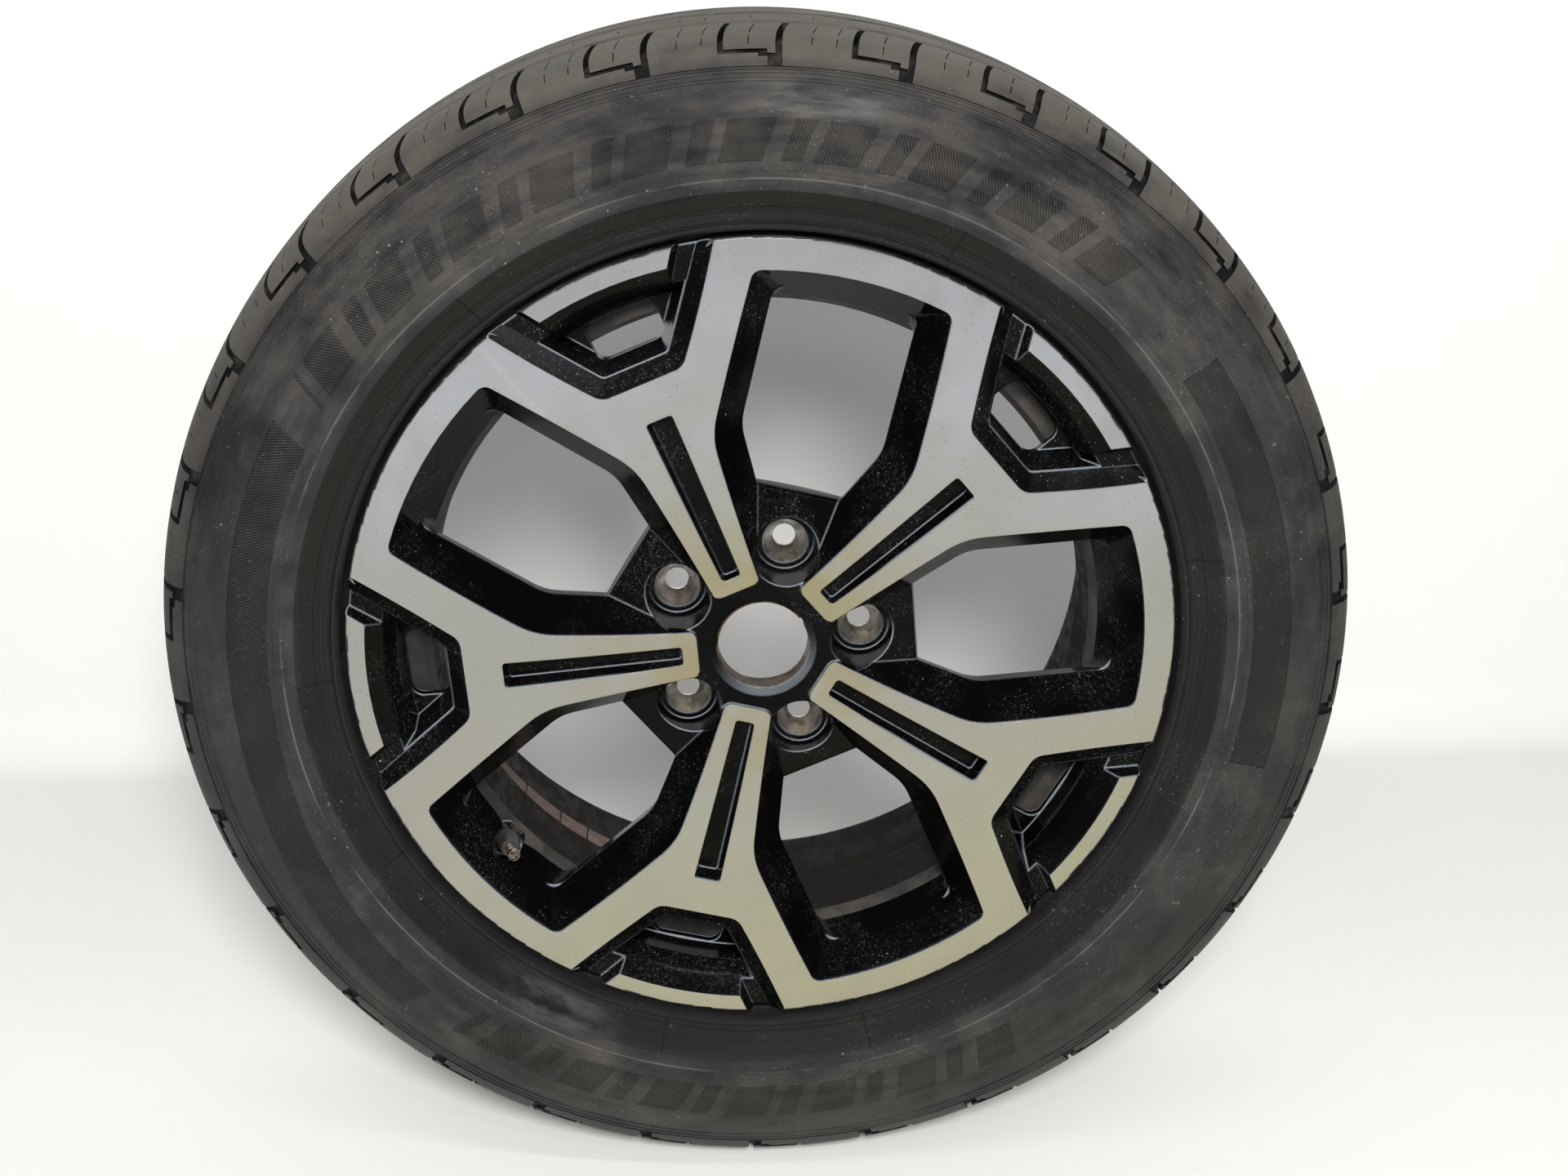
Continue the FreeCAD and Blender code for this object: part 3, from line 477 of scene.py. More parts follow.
def tyre_finish(look):
    """Rubber: hatched bars and bands, thin ribs and rings, dry grey smears, road dust and scuffs."""
    s = Surface("tyre_rubber", Specular_IOR_Level=0.35)
    g = s.g
    r, a, d = s.radius, s.angle, s.depth
    grain = g.noise(s.position, 900.0, 2.0, 0.6)
    cloud = g.noise(s.position, 14.0, 6.0, 0.62)
    front = g.ramp(d, 60.0, 90.0, 1.0, 0.0)
    along = g.vector(g.math("MULTIPLY", a, 0.12), g.math("MULTIPLY", r, 0.11), g.math("MULTIPLY", d, 0.05))
    smear = g.noise(along, 1.0, 5.0, 0.65)
    # Hatched bars and bands
    out = g.math("SUBTRACT", r, 288.0)
    slant = g.math("MULTIPLY_ADD", out, 0.0717, a)
    right = g.between(a, -14.0, 35.0, 0.1)
    lean = g.math("MULTIPLY_ADD", right, -0.26, -0.105)
    hatch = g.math("MULTIPLY_ADD", out, lean, a)
    line = g.ramp(g.math("PINGPONG", g.math("MULTIPLY", hatch, 1 / 0.34), 0.5), 0.16, 0.34)
    band = g.between(r, 277.5, 299.0, 0.35)
    step = g.math("FRACT", g.math("MULTIPLY", g.math("ADD", slant, 360.0), 1 / 10.2))
    bars = g.most(g.between(step, 0.06, 0.52, 0.012), g.between(step, 0.66, 0.86, 0.012))
    arcs = g.most(g.between(slant, 47.0, 147.0, 0.1), g.between(slant, -128.0, -58.0, 0.1))
    edge = g.math("MULTIPLY_ADD", g.ramp(a, -178.0, -134.0), 9.0, 0.0)
    taper = g.between(g.math("SUBTRACT", r, g.math("MULTIPLY", edge, g.ramp(a, -120.0, -110.0, 1.0, 0.0))),
                      276.0, 297.5, 0.35)
    left = g.most(g.between(slant, 152.0, 181.5, 0.1), g.between(slant, -181.5, -134.0, 0.1))
    hatched = g.times(g.most(g.times(band, bars, arcs), g.times(taper, g.most(left, right))), front)
    # Thin ribs and rings
    ribs = None
    for turn in (66.0, 12.0, -40.0, -76.0, -104.0, -150.0, -177.0, 128.0):
        rib = g.between(a, turn - 0.09, turn + 0.09, 0.05)
        ribs = rib if ribs is None else g.most(ribs, rib)
    ribs = g.times(ribs, g.between(r, 241.0, 262.0, 0.3), front)
    rings = g.most(g.between(r, 252.6, 253.2, 0.3), g.between(r, 272.4, 272.9, 0.3))
    height = g.math("MULTIPLY_ADD", g.times(hatched, line), 0.9, g.math("MULTIPLY", hatched, 0.25))
    height = g.math("ADD", height, g.math("MULTIPLY_ADD", rings, 0.3, g.math("MULTIPLY", ribs, 0.8)))
    height = g.math("MULTIPLY_ADD", grain, 0.14, height)
    height = g.math("MULTIPLY_ADD", smear, 0.25, height)
    # Dry rubber, painted shade in the hatch grooves and by the bead, dust and scuffs
    worn = g.ramp(g.math("MULTIPLY_ADD", smear, 0.5, g.math("MULTIPLY", cloud, 0.5)), 0.36, 0.66)
    colour = g.mix(worn, look.rubber, look.worn)
    brown = g.times(g.ramp(g.noise(s.position, 24.0, 4.0, 0.6), 0.46, 0.70), front)
    colour = g.mix(g.math("MULTIPLY", brown, 0.2), colour, look.road_dust)
    # Painted shade in the fine grooves between the hatch lines
    groove = g.times(hatched, g.math("SUBTRACT", 1.0, line))
    colour = g.mix(g.math("MULTIPLY", groove, 0.9), colour, (0.004, 0.004, 0.0045))
    colour = g.mix(g.times(hatched, line, 0.06), colour, look.road_dust)
    ridge = g.times(g.between(r, 267.9, 268.7, 0.4), front, g.ramp(smear, 0.36, 0.60))
    colour = g.mix(g.math("MULTIPLY", ridge, 0.35), colour, (0.17, 0.17, 0.175))
    # Darker band by the bead: partly cleaner black rubber, partly painted shade for the zone that the rim flange and
    # its slope keep from the light
    bead = g.ramp(r, 258.0, 263.5, 1.0, 0.0)
    colour = g.mix(g.math("MULTIPLY", bead, 0.85), colour, (0.007, 0.007, 0.0075))
    shoulder = g.ramp(r, 318.0, 336.0)
    dusty = g.times(shoulder, g.ramp(g.noise(s.position, 26.0, 5.0, 0.65), 0.22, 0.60))
    # Browner and lighter towards the top of the tyre and over part of its lower side
    upper = g.times(g.ramp(a, 10.0, 60.0), g.ramp(a, 130.0, 178.0, 1.0, 0.0))
    under = g.times(g.ramp(a, -160.0, -120.0), g.ramp(a, -75.0, -35.0, 0.6, 0.0))
    colour = g.mix(g.times(g.most(upper, under), worn, front, g.ramp(r, 262.0, 270.0), 0.34), colour, look.road_dust)
    colour = g.mix(g.times(dusty, g.math("MULTIPLY_ADD", upper, 0.45, 0.30)), colour, look.road_dust)
    scuff = g.times(g.between(a, 78.0, 90.0, 4.0), g.between(r, 300.0, 317.0, 7.0))
    lower = g.times(g.between(a, -127.0, -112.0, 4.0), g.between(r, 248.0, 263.0, 5.0))
    rub = g.times(g.most(scuff, lower), front, g.ramp(smear, 0.34, 0.70))
    colour = g.mix(g.math("MULTIPLY", rub, 0.30), colour, (0.17, 0.17, 0.175))
    nicks = g.times(front, g.ramp(g.noise(s.position, 160.0, 4.0, 0.7), 0.67, 0.74), g.ramp(cloud, 0.42, 0.6))
    colour = g.mix(g.math("MULTIPLY", nicks, 0.4), colour, (0.24, 0.23, 0.22))
    dust = s.specks(1.0)
    colour = g.mix(g.math("MULTIPLY", dust["Specks"], 0.45), colour, (0.34, 0.32, 0.29))
    s.set("Base Color", colour)
    s.set("Roughness", g.math("MULTIPLY_ADD", worn, 0.20, g.math("MULTIPLY_ADD", dusty, 0.14, 0.44)))
    s.bump(height, 0.0007, 1.0)
    return s.material


def groove_shade_finish():
    """Painted shade in the tread grooves: near-black rubber with dusty patches."""
    s = Surface("tyre_groove_shade", Specular_IOR_Level=0.15)
    g = s.g
    cloud = g.noise(s.position, 90.0, 4.0, 0.6)
    # The near-black base stands for the shade in the grooves
    s.set("Base Color", g.mix(g.ramp(cloud, 0.45, 0.75), (0.006, 0.006, 0.0065), (0.03, 0.027, 0.023)))
    s.set("Roughness", g.ramp(cloud, 0.3, 0.7, 0.6, 0.8))
    return s.material


def valve_rubber_finish(look):
    """Dusty rubber of the valve body."""
    s = Surface("valve_rubber_skin")
    g = s.g
    cloud = g.noise(s.position, 260.0, 4.0, 0.6)
    dust = s.specks(1.0)
    colour = g.mix(g.ramp(cloud, 0.4, 0.7, 0.0, 0.5), look.valve_rubber, (0.075, 0.066, 0.056))
    s.set("Base Color", g.mix(g.math("MULTIPLY", dust["Specks"], 0.5), colour, (0.34, 0.32, 0.29)))
    s.set("Roughness", g.ramp(cloud, 0.3, 0.7, 0.42, 0.68))
    s.bump(g.noise(s.position, 1400.0, 2.0), 0.0001, 0.35)
    return s.material


def valve_metal_finish(look):
    """Dull plating of the valve's metal parts."""
    s = Surface("valve_metal_plate", Metallic=1.0)
    g = s.g
    cloud = g.noise(s.position, 420.0, 4.0, 0.6)
    s.set("Base Color", g.mix(g.ramp(cloud, 0.38, 0.68), look.valve_metal, (0.16, 0.12, 0.085)))
    s.set("Roughness", g.ramp(cloud, 0.3, 0.7, 0.26, 0.55))
    s.bump(cloud, 0.00008, 0.4)
    return s.material


def rust_finish(look):
    """Rusty steel of the balance weights."""
    s = Surface("weight_rust", Metallic=0.15)
    g = s.g
    cloud = g.noise(s.position, 120.0, 6.0, 0.65)
    fine = g.noise(s.position, 800.0, 3.0, 0.6)
    colour = g.mix(g.ramp(cloud, 0.40, 0.62), look.rust, (0.15, 0.11, 0.095))
    colour = g.mix(g.ramp(fine, 0.52, 0.72, 0.0, 0.7), colour, (0.045, 0.027, 0.021))
    s.set("Base Color", colour)
    s.set("Roughness", g.ramp(cloud, 0.3, 0.7, 0.5, 0.8))
    s.bump(g.math("MULTIPLY_ADD", fine, 0.5, cloud), 0.0004, 0.5)
    return s.material


def tape_finish(look):
    """Foam tape under the weights."""
    s = Surface("weight_tape_foam")
    g = s.g
    cloud = g.noise(s.position, 900.0, 3.0, 0.6)
    s.set("Base Color", g.mix(g.ramp(cloud, 0.35, 0.7), look.tape, (0.11, 0.095, 0.085)))
    s.set("Roughness", g.ramp(cloud, 0.3, 0.7, 0.7, 0.92))
    s.bump(cloud, 0.0002, 0.5)
    return s.material


# Pieces

def new_piece(name, bm, materials, body, nodes, crease=None):
    """Makes an object from a bmesh, gives it its finish and ties it to the frame."""
    mesh = bpy.data.meshes.new(name)
    bm.to_mesh(mesh)
    bm.free()
    return tie_piece(name, mesh, materials, body, nodes, crease)


def tie_piece(name, mesh, materials, body, nodes, crease=None):
    for material in materials:
        mesh.materials.append(material)
    if crease is not None:
        mesh.shade_smooth()
        mesh.set_sharp_from_angle(angle=crease)
    piece = bpy.data.objects.new(name, mesh)
    bpy.context.scene.collection.objects.link(piece)
    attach(piece, body)
    if nodes:
        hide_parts(*nodes)
    return piece


def merged_copy(node):
    """A bmesh of a CAD node with its loose triangles joined."""
    bm = bmesh.new()
    bm.from_mesh(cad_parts[node].data)
    bmesh.ops.remove_doubles(bm, verts=bm.verts, dist=2e-6)
    return bm


def lathe(points, steps, axis=AXLE, centre=(0, 0, 0), closed=False):
    """A bmesh of a section spun all the way round an axis."""
    bm = bmesh.new()
    verts = [bm.verts.new(p) for p in points]
    edges = [bm.edges.new(pair) for pair in zip(verts, verts[1:])]
    if closed:
        edges.append(bm.edges.new((verts[-1], verts[0])))
    bmesh.ops.spin(bm, geom=verts + edges, cent=centre, axis=axis, angle=2 * math.pi, steps=steps, use_merge=True)
    bmesh.ops.remove_doubles(bm, verts=bm.verts, dist=1e-7)
    bmesh.ops.recalc_face_normals(bm, faces=bm.faces)
    return bm


def face_region(centre, normal):
    """Finish number of one facet of the casting: 0 machined, 1 paint, 2 bare metal, 3 barrel, 4 rear."""
    r, depth = polar(centre)
    on_arc = abs(math.dist((r, depth), FACE_MIDDLE) - FACE_SIZE) < 0.06
    if on_arc and normal.y < -0.9 and r > 28.0:
        return 0
    if r > 233.4 and depth < 1.8 and normal.y < -0.05:
        return 0
    if depth > 29.0 and r < 75.0 and normal.y < 0.5:
        for turn in WINDOW_TURNS:
            nut = place(NUT_CIRCLE, turn, 0.0)
            if math.hypot(centre.x - nut.x, centre.z - nut.z) < 13.25 * MM:
                return 2
    if r > 185.0 and depth > 44.0:
        return 3
    if depth > 36.0:
        return 4
    return 1


def flat_areas(bm):
    """Area of the flat stretch that each facet belongs to."""
    areas = {}
    for face in bm.faces:
        if face in areas:
            continue
        patch = [face]
        seen = {face}
        for member in patch:
            for edge in member.edges:
                for other in edge.link_faces:
                    if other not in seen and other.normal.dot(member.normal) > 0.99998:
                        seen.add(other)
                        patch.append(other)
        whole = sum(member.calc_area() for member in patch)
        areas.update((member, whole) for member in patch)
    return areas


def even_normals(bm, crease):
    """Shading normals of the corners: flat stretches weigh by their whole area, and the turned face follows its arc."""
    areas = flat_areas(bm)
    soft = {e for e in bm.edges if e.is_manifold and e.calc_face_angle() < crease}
    normals = {}
    for vert in bm.verts:
        left = set(vert.link_loops)
        while left:
            fan = [left.pop()]
            for loop in fan:
                for edge in (loop.edge, loop.link_loop_prev.edge):
                    joined = [o for o in left if edge in soft and edge in (o.edge, o.link_loop_prev.edge)]
                    left.difference_update(joined)
                    fan.extend(joined)
            total = Vector((0.0, 0.0, 0.0))
            for loop in fan:
                total += loop.face.normal * (areas[loop.face] * loop.calc_angle())
            for loop in fan:
                normals[loop] = total.normalized()
    ordered = []
    for face in bm.faces:
        for loop in face.loops:
            r, depth = polar(loop.vert.co)
            if face.material_index == 0 and r < 233.9:
                out = Vector((r - FACE_MIDDLE[0], depth - FACE_MIDDLE[1])).normalized()
                if out.y > 0:
                    out.negate()
                turn = math.atan2(loop.vert.co.z, loop.vert.co.x)
                ordered.append(Vector((out.x * math.cos(turn), out.y, out.x * math.sin(turn))))
            else:
                ordered.append(normals[loop])
    return ordered


# In the order of the numbers that face_region gives
CASTING_FINISHES = (machined_finish, paint_finish, seat_finish, barrel_finish, rear_finish)


class WHEEL_OT_casting(bpy.types.Operator):
    """Make the alloy casting: turned face, gloss black pockets, bare nut seats and dirty barrel"""
    bl_idname = "wheel.casting"
    bl_label = "Alloy casting"

    def execute(self, context):
        look = context.scene.wheel_casting
        bm = merged_copy("alloy_wheel")
        bm.normal_update()
        for face in bm.faces:
            face.material_index = face_region(face.calc_center_median(), face.normal)
        finishes = [finish(look) for finish in CASTING_FINISHES]
        normals = even_normals(bm, look.crease)
        piece = new_piece("casting", bm, finishes, "wheel", ["alloy_wheel"], look.crease)
        piece.data.normals_split_custom_set(normals)
        return {"FINISHED"}


# Section of the tyre's front half, from the bead toe over the sidewall to the middle of the tread: radius, depth
BEAD = [(217.2, 29.0), (218.0, 16.0), (219.6, 12.0), (223.5, 10.6), (230.2, 10.6), (234.3, 9.4), (237.0, 6.4),
        (238.4, 2.0), (239.6, -2.2), (241.0, -3.8), (242.6, -3.9), (243.6, -2.7), (244.2, -2.6), (245.0, -3.4),
        (246.2, -3.7), (247.4, -3.2), (249.0, -3.3)]
SIDE = [(253.0, -6.6), (257.5, -10.4), (261.0, -13.1), (261.6, -14.2), (262.6, -14.3), (268.0, -16.0),
        (275.0, -17.2), (283.0, -17.45), (291.0, -17.2), (299.0, -16.0), (307.0, -13.7), (313.0, -11.3)]
RIDGES = [(316.6, -9.6), (317.1, -10.1), (318.1, -9.6), (318.6, -8.2), (320.4, -7.2), (320.9, -7.6), (321.9, -7.0),
          (322.4, -5.0), (323.4, -4.4)]
SHOULDER = [(323.9, -5.6), (326.5, -4.2), (328.4, -3.0), (330.0, -1.9), (332.0, -0.2), (334.2, 2.6), (336.0, 6.0),
            (337.6, 10.5), (338.9, 15.5), (339.9, 21.0), (340.95, 27.0), (341.5, 32.0), (342.0, 36.5)]
TREAD = [(334.6, 37.5), (335.0, 44.5), (342.56, 45.5), (343.3, 53.0), (343.8, 62.0), (344.14, 70.5), (336.8, 71.5),
         (337.0, 78.5), (344.43, 79.5), (344.6, 93.0)]
INSIDE = [(221.0, 32.0), (228.0, 25.0), (246.0, 7.0), (272.0, -8.0), (300.0, -7.0), (318.0, 8.0), (328.0, 40.0),
          (329.0, 93.0)]
# Columns of one tread pitch, as shares of the pitch
COLUMNS = (0.36, 0.4515, 0.4585, 0.515, 0.57, 0.615, 0.70, 0.796, 0.804, 0.87, 0.94, 1.0, 1.052, 1.155, 1.2665,
           1.2735, 1.36)
# Columns that are cut: cross groove, the two beside it, groove along the shoulder, short groove, sipes
CROSS, NEXT, AFTER, ALONG, SHORT, SIPES = 11, 10, 9, (4, 5, 6, 7, 8), 4, (1, 7, 14)
SHALLOWEST = 1.2


def groove_depth(look, depth):
    """Depth in mm of a cross groove at a place across the tyre."""
    share = min(max((depth + 4.0) / 20.0, 0.12), 1.0)
    return SHALLOWEST + share * (look.groove / MM - SHALLOWEST)


class WHEEL_OT_tyre(bpy.types.Operator):
    """Make the tyre: beads, sidewalls, shoulder grooves and ribbed tread, one pitch repeated round"""
    bl_idname = "wheel.tyre"
    bl_label = "Tyre"

    def execute(self, context):
        look = context.scene.wheel_tyre
        pitch = 360.0 / look.pitches
        half = BEAD + SIDE + RIDGES + SHOULDER + TREAD
        far = [(r, 2 * MID - d) for r, d in reversed(half[:-1])]
        inner = [(r, 2 * MID - d) for r, d in INSIDE] + list(reversed(INSIDE[:-1]))
        section = half + far + inner
        self.ends = list(zip(section, section[1:] + section[:1]))
        self.outer = len(half) + len(far) - 1
        bm = bmesh.new()
        start = math.degrees(look.first) + pitch
        verts = [bm.verts.new(place(r, start - COLUMNS[0] * pitch, d)) for r, d in section]
        edges = [bm.edges.new((v, verts[(i + 1) % len(verts)])) for i, v in enumerate(verts)]
        last = verts + edges
        for near, away in zip(COLUMNS, COLUMNS[1:]):
            step = math.radians((away - near) * pitch)
            last = bmesh.ops.spin(bm, geom=last, axis=AXLE, angle=step, steps=1)["geom_last"]
        bm.normal_update()
        self.sink_grooves(bm, look, self.sort_faces(bm, start, pitch))
        self.lean_grooves(bm, look)
        bmesh.ops.spin(bm, geom=bm.verts[:] + bm.edges[:] + bm.faces[:], axis=AXLE,
                       angle=math.radians(360.0 - pitch), steps=look.pitches - 1, use_duplicate=True)
        bmesh.ops.remove_doubles(bm, verts=bm.verts, dist=2e-6)
        bmesh.ops.recalc_face_normals(bm, faces=bm.faces)
        finishes = [tyre_finish(look), groove_shade_finish()]
        new_piece("tyre_rubber", bm, finishes, "wheel", ["tyre"], math.radians(35))
        return {"FINISHED"}

    def sort_faces(self, bm, start, pitch):
        """The pitch's faces by column and by place in the section."""
        middles = [((p[0] + q[0]) / 2, (p[1] + q[1]) / 2) for p, q in self.ends]
        table = {}
        for face in bm.faces:
            centre = face.calc_center_median()
            r, d = polar(centre)
            turn = start - math.degrees(math.atan2(centre.z, centre.x))
            share = (turn % 360.0) / pitch
            column = max(i for i, edge in enumerate(COLUMNS) if edge <= share + 1e-6)
            row = min(range(len(middles)), key=lambda i: (middles[i][0] - r) ** 2 + (middles[i][1] - d) ** 2)
            table[column, row] = face
        return table

    def pick(self, table, columns, low, high, far=False):
        """Faces in some columns whose section runs between two places of the front half, or of the rear half."""
        found = []
        for (column, row), face in table.items():
            (r0, d0), (r1, d1) = self.ends[row]
            if r0 < 320.0 or row >= self.outer:
                continue
            if (d0 + d1 > 2 * MID) != far:
                continue
            if far:
                d0, d1 = 2 * MID - d0, 2 * MID - d1
            low_r, low_d = low
            high_r, high_d = high
            inside = min(r0, r1) >= low_r - 0.01 and max(r0, r1) <= high_r + 0.01
            if column in columns and inside and min(d0, d1) >= low_d - 0.01 and max(d0, d1) <= high_d + 0.01:
                found.append(face)
        return found

    def sink(self, bm, faces, depth_at):
        """Sinks a patch of faces into the rubber."""
        moved = bmesh.ops.extrude_face_region(bm, geom=faces)["geom"]
        bmesh.ops.delete(bm, geom=[f for f in faces if f.is_valid], context="FACES_ONLY")
        for vert in (v for v in moved if isinstance(v, bmesh.types.BMVert)):
            for face in vert.link_faces:
                # The sunk faces take the second finish, the painted shade of the grooves
                face.material_index = 1
            r, d = polar(vert.co)
            near = d if d <= MID else 2 * MID - d
            way = Vector((310.0 - r, 40.0 - near)).normalized() * depth_at(near)
            across = (r + way.x) / r
            shift = way.y if d <= MID else -way.y
            vert.co = Vector((vert.co.x * across, vert.co.y + shift * MM, vert.co.z * across))

    def sink_grooves(self, bm, look, table):
        """Cuts the hooked groove and the sipes of one pitch, on both shoulders."""
        hook = (((CROSS,), (323.9, -6.0), (342.0, 36.5)), ((NEXT,), (323.9, -6.0), (328.4, -3.0)),
                (ALONG, (330.0, -2.0), (332.0, 0.0)), ((AFTER,), (328.4, -3.0), (332.0, 0.0)),
                ((NEXT,), (328.4, -3.0), (330.0, 0.0)), ((SHORT,), (332.0, -0.3), (342.0, 36.5)))
        cuts = (((334.2, 2.6), (337.6, 10.5)), ((338.9, 15.5), (341.5, 32.0)), ((343.3, 53.0), (343.8, 62.0)))
        for far in (False, True):
            groove = [face for columns, low, high in hook for face in self.pick(table, columns, low, high, far)]
            patches = [(groove, lambda depth: groove_depth(look, depth))]
            for column in SIPES:
                for low, high in cuts:
                    patches.append((self.pick(table, (column,), low, high, far), lambda depth: look.sipe / MM))
            for faces, depth_at in patches:
                if faces:
                    self.sink(bm, [f for f in faces if f.is_valid], depth_at)

    def lean_grooves(self, bm, look):
        """Turns each place across the tyre a little, so that the grooves lean."""
        for vert in bm.verts:
            r, d = polar(vert.co)
            near = d if d <= MID else 2 * MID - d
            most = math.degrees(look.lean)
            if near < 36.0:
                turn = -most * (max(near + 2.0, 0.0) / 38.0) ** 2
            else:
                turn = -most * (MID - near) / (MID - 36.0)
            if d > MID:
                turn = -turn
            vert.co = Matrix.Rotation(math.radians(-turn), 3, "Y") @ vert.co


# Section of the valve along its own axis, from the seat: distance, radius in mm
VALVE_BODY = [(0.0, 3.0), (0.0, 6.4), (0.6, 7.2), (1.6, 7.4), (3.0, 7.2), (5.0, 6.75), (9.0, 6.5), (14.0, 6.1),
              (18.0, 5.75), (19.8, 5.5), (20.6, 5.1), (20.9, 4.6), (20.9, 3.5), (20.2, 3.5), (20.2, 3.0)]


def valve_point(along, radius):
    side = VALVE_WAY.orthogonal().normalized()
    return VALVE_SEAT + VALVE_WAY * along * MM + side * radius * MM


class WHEEL_OT_valve(bpy.types.Operator):
    """Make the snap-in valve: rubber body, threaded neck, core plug and pin"""
    bl_idname = "wheel.valve"
    bl_label = "Valve"

    def execute(self, context):
        look = context.scene.wheel_fittings
        metal = valve_metal_finish(look)
        body = lathe([valve_point(x, r) for x, r in VALVE_BODY], 56, VALVE_WAY, VALVE_SEAT, True)
        new_piece("valve_body", body, [valve_rubber_finish(look)], "wheel", ["valve_rubber"],
                  math.radians(40))
        depth = look.thread_depth / MM
        pitch = look.thread / MM
        neck = [(20.5, 2.68), (20.5, 3.45)]
        count = int((35.0 - 21.4) / pitch)
        for k in range(count):
            base = 21.4 + k * pitch
            neck += [(base, 3.85 - depth), (base + pitch * 0.3, 3.84), (base + pitch * 0.55, 3.84)]
        neck += [(35.3, 3.85 - depth), (35.9, 3.3), (36.0, 3.05), (35.9, 2.75), (33.4, 2.68)]
        thread = lathe([valve_point(x, r) for x, r in neck], 48, VALVE_WAY, VALVE_SEAT, True)
        new_piece("valve_neck", thread, [metal], "wheel", ["valve_stem"], math.radians(34))
        for node, name, ride in (("valve_core", "valve_core_plug", "wheel"), ("valve_pin", "valve_core_pin", "pin")):
            new_piece(name, merged_copy(node), [metal], ride, [node], math.radians(30))
        return {"FINISHED"}


class WHEEL_OT_weights(bpy.types.Operator):
    """Make the four balance weights and their tape inside the barrel"""
    bl_idname = "wheel.weights"
    bl_label = "Balance weights"

    def execute(self, context):
        look = context.scene.wheel_fittings
        rust = rust_finish(look)
        turn = -117.35
        for k, span in enumerate((5.6, 5.9, 8.2, 8.1)):
            bm = bmesh.new()
            gap = 0.15
            corners = [(202.4, 101.0), (202.4, 121.0), (206.0, 121.0), (206.0, 101.0)]
            face = bm.faces.new([bm.verts.new(place(r, turn - gap, d)) for r, d in corners])
            bmesh.ops.spin(bm, geom=[face] + face.edges[:] + face.verts[:], axis=AXLE,
                           angle=math.radians(span - 2 * gap), steps=8)
            bmesh.ops.recalc_face_normals(bm, faces=bm.faces)
            sharp = [e for e in bm.edges if e.is_manifold and e.calc_face_angle() > math.radians(40)]
            bmesh.ops.bevel(bm, geom=sharp, offset=0.0007, offset_type="OFFSET", affect="EDGES", segments=3,
                            profile=0.5, material=-1)
            new_piece("weight_%d" % (k + 1), bm, [rust], "wheel", ["balance_weight_%d" % (k + 1)],
                      math.radians(40))
            turn -= span
        new_piece("weight_tape", merged_copy("balance_tape"), [tape_finish(look)], "wheel",
                  ["balance_tape"], math.radians(30))
        return {"FINISHED"}


def push_edges(bm, edges, way):
    """Draws edges out into faces along a way, and gives the new edges."""
    moved = bmesh.ops.extrude_edge_only(bm, edges=edges)["geom"]
    bmesh.ops.translate(bm, verts=[v for v in moved if isinstance(v, bmesh.types.BMVert)], vec=way)
    return [e for e in moved if isinstance(e, bmesh.types.BMEdge)]


# Stage: the camera's place in metres and its turn in degrees, then sizes in metres
CAMERA_PLACE = (-0.0378, -1.1774, 0.4291)
CAMERA_TURN = (70.157, 0.0, -2.6)
FRAME_WIDTH = 36.0
REACH = 4.0
COVE = 0.05
WALL_HEIGHT = 3.0
TUBE_WIDTH = 0.1


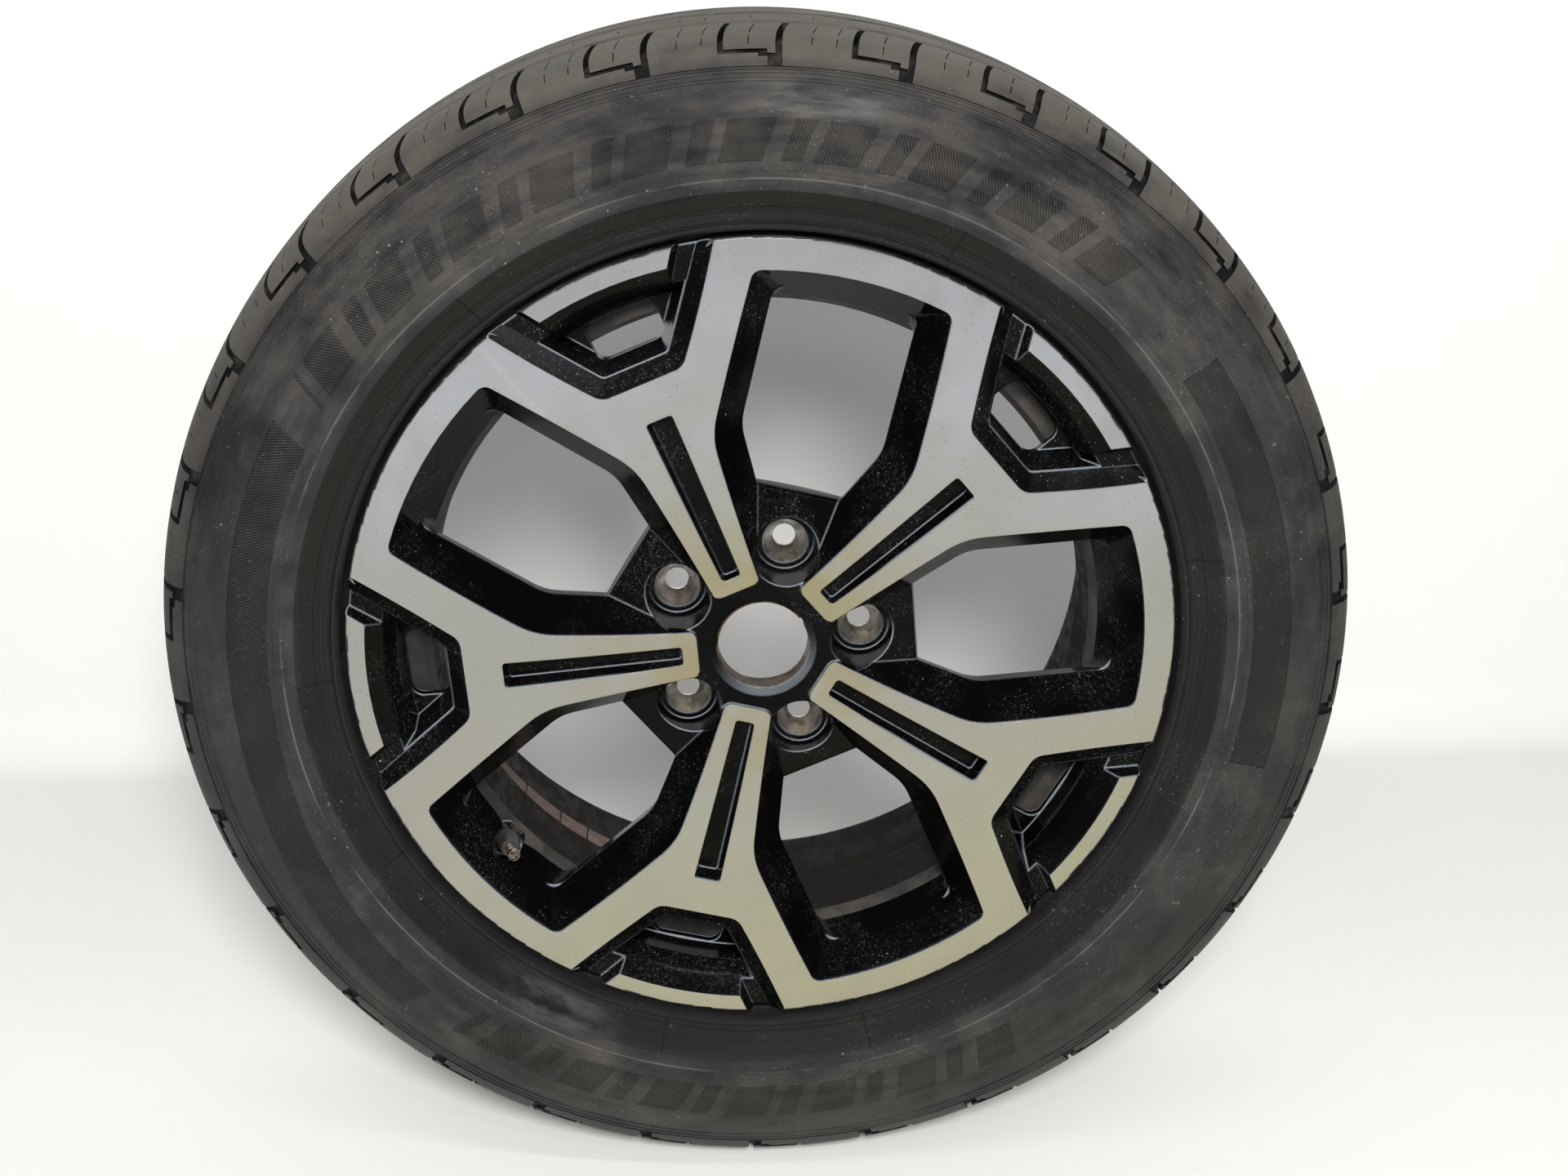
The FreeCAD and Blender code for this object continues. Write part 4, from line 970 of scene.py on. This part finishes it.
class WHEEL_OT_stage(bpy.types.Operator):
    """Set the pale floor and wall, the soft lights and the camera"""
    bl_idname = "wheel.stage"
    bl_label = "Stage"

    def execute(self, context):
        look = context.scene.wheel_stage
        self.backdrop(look)
        self.card()
        self.lights(context.scene, look)
        data = bpy.data.cameras.new("view")
        data.sensor_fit = "HORIZONTAL"
        data.sensor_width = FRAME_WIDTH
        data.lens = look.lens
        camera = bpy.data.objects.new("view", data)
        camera.location = CAMERA_PLACE
        camera.rotation_euler = [math.radians(turn) for turn in CAMERA_TURN]
        context.scene.collection.objects.link(camera)
        context.scene.camera = camera
        context.scene.view_settings.view_transform = "Standard"
        return {"FINISHED"}

    def backdrop(self, look):
        """The floor and the wall behind in one sheet with a rounded corner, clear from its rear side."""
        floor = CAD_BOX[0][2]
        bm = bmesh.new()
        verts = [bm.verts.new((x, -REACH, floor)) for x in (-REACH, REACH)]
        edge = bm.edges.new(verts)
        edges = push_edges(bm, [edge], (0, REACH + look.wall - COVE, 0))
        turned = bmesh.ops.spin(bm, geom=edges + edges[0].verts[:], cent=(0, look.wall - COVE, floor + COVE),
                                axis=(1, 0, 0), angle=math.pi / 2, steps=8)["geom_last"]
        push_edges(bm, [e for e in turned if isinstance(e, bmesh.types.BMEdge)], (0, 0, WALL_HEIGHT))
        bm.normal_update()
        if bm.faces[:][0].normal.z < 0:
            bmesh.ops.reverse_faces(bm, faces=bm.faces[:])
        mesh = bpy.data.meshes.new("backdrop")
        bm.to_mesh(mesh)
        bm.free()
        mesh.shade_smooth()
        s = Surface("backdrop_paper", Specular_IOR_Level=0.2)
        cloud = s.g.noise(s.position, 3.0, 3.0)
        ahead = s.g.add("ShaderNodeSeparateXYZ", {0: s.position}).outputs[1]
        far = s.g.ramp(ahead, -2.2, -0.9, 1.0, 0.0)
        colour = s.g.mix(s.g.math("MULTIPLY", cloud, 0.12), look.floor, (0.70, 0.70, 0.70))
        s.set("Base Color", s.g.mix(s.g.math("MULTIPLY", far, 0.7), colour, (0.62, 0.65, 0.70)))
        s.set("Roughness", s.g.ramp(cloud, 0.3, 0.7, 0.6, 0.8))
        behind = s.g.add("ShaderNodeNewGeometry").outputs["Backfacing"]
        clear = s.g.add("ShaderNodeBsdfTransparent").outputs[0]
        either = s.g.add("ShaderNodeMixShader", {0: behind, 1: s.shader.outputs[0], 2: clear})
        s.g.put(s.g.tree.nodes["Material Output"].inputs[0], either.outputs[0])
        mesh.materials.append(s.material)
        piece = bpy.data.objects.new("backdrop", mesh)
        bpy.context.scene.collection.objects.link(piece)

    def card(self):
        """A dim glowing card on the floor in front, turned up at its far end, which only the gloss and the metal show:
        it lights their reflections, warm near the wheel and cool far off.
        """
        low = CAD_BOX[0][2] + 0.002
        bm = bmesh.new()
        edges = [bm.edges.new([bm.verts.new((x, -0.12, low)) for x in (-2.0, 2.0)])]
        for way in ((0.0, -2.5, 0.0), (0.0, -0.1, 0.8)):
            edges = push_edges(bm, edges, way)[:1]
        mesh = bpy.data.meshes.new("card")
        bm.to_mesh(mesh)
        bm.free()
        material = bpy.data.materials.new("card_glow")
        material.use_nodes = True
        g = Graph(material.node_tree)
        g.tree.nodes.remove(g.tree.nodes["Principled BSDF"])
        position = g.add("ShaderNodeTexCoord").outputs["Object"]
        place_out = g.add("ShaderNodeSeparateXYZ", {0: position}).outputs
        ahead = place_out[1]
        near = g.mix(g.ramp(place_out[0], -0.55, 0.05), (0.60, 0.59, 0.54), (0.64, 0.61, 0.40))
        colour = g.mix(g.ramp(ahead, -1.0, -0.4), (0.55, 0.54, 0.48), near)
        colour = g.mix(g.ramp(ahead, -1.9, -1.1, 1.0, 0.0), colour, (0.74, 0.765, 0.81))
        light = g.add("ShaderNodeEmission", {"Color": colour})
        g.put(g.tree.nodes["Material Output"].inputs[0], light.outputs[0])
        mesh.materials.append(material)
        piece = bpy.data.objects.new("card", mesh)
        for kind in ("camera", "diffuse", "shadow", "transmission", "volume_scatter"):
            setattr(piece, "visible_" + kind, False)
        bpy.context.scene.collection.objects.link(piece)

    def lights(self, scene, look):
        """Three soft lamps (name, place, size, power, colour, seen in gloss) and the even light of the room."""
        lamps = (("key", (0.05, -1.85, 1.02), 0.5, look.key, (1.0, 0.985, 0.96), False),
                 ("small", (0.05, -1.6, 1.45), 0.12, look.spark, (1.0, 0.96, 0.9), True),
                 ("tube", (-0.2, -1.0, 1.9), 2.4, look.fill, (0.92, 0.965, 1.0), True))
        for name, spot, size, power, colour, glossy in lamps:
            data = bpy.data.lights.new(name, "AREA")
            data.shape = "RECTANGLE" if name == "tube" else "DISK"
            data.size = size
            data.size_y = TUBE_WIDTH
            data.energy = power
            data.color = colour
            lamp = bpy.data.objects.new(name, data)
            lamp.location = spot
            lamp.visible_glossy = glossy
            lamp.rotation_euler = (Vector((0.0, 0.0, -0.05)) - Vector(spot)).to_track_quat("-Z", "Y").to_euler()
            scene.collection.objects.link(lamp)
        world = bpy.data.worlds.new("room")
        scene.world = world
        world.use_nodes = True
        room = world.node_tree.nodes["Background"]
        room.inputs[0].default_value = (0.96, 0.98, 1.0, 1.0)
        room.inputs[1].default_value = look.sky


class WHEEL_PT_panel(bpy.types.Panel):
    """The wheel's pieces and finishes"""
    bl_idname = "WHEEL_PT_panel"
    bl_label = "Alloy wheel"
    bl_space_type = "VIEW_3D"
    bl_region_type = "UI"
    bl_category = "Wheel"

    def draw(self, context):
        for group, operators in PIECES:
            box = self.layout.box()
            settings = getattr(context.scene, group)
            for key in settings.__annotations__:
                box.prop(settings, key)
            for operator in operators:
                box.operator(operator.bl_idname)


GROUPS = (("wheel_casting", WheelCastingFinish), ("wheel_tyre", WheelTyreSizes), ("wheel_fittings", WheelFittingSizes),
          ("wheel_stage", WheelStage))
PIECES = (("wheel_casting", (WHEEL_OT_casting,)), ("wheel_tyre", (WHEEL_OT_tyre,)),
          ("wheel_fittings", (WHEEL_OT_valve, WHEEL_OT_weights)), ("wheel_stage", (WHEEL_OT_stage,)))
CLASSES = tuple(operator for group, operators in PIECES for operator in operators) + (WHEEL_PT_panel,)


def register():
    for name, group in GROUPS:
        bpy.utils.register_class(group)
        setattr(bpy.types.Scene, name, PointerProperty(type=group))
    for cls in CLASSES:
        bpy.utils.register_class(cls)


def unregister():
    for cls in reversed(CLASSES):
        bpy.utils.unregister_class(cls)
    for name, group in reversed(GROUPS):
        delattr(bpy.types.Scene, name)
        bpy.utils.unregister_class(group)


def main():
    register()
    bpy.ops.wheel.casting()
    bpy.ops.wheel.tyre()
    bpy.ops.wheel.valve()
    bpy.ops.wheel.weights()
    bpy.ops.wheel.stage()


if __name__ == "__main__":
    main()
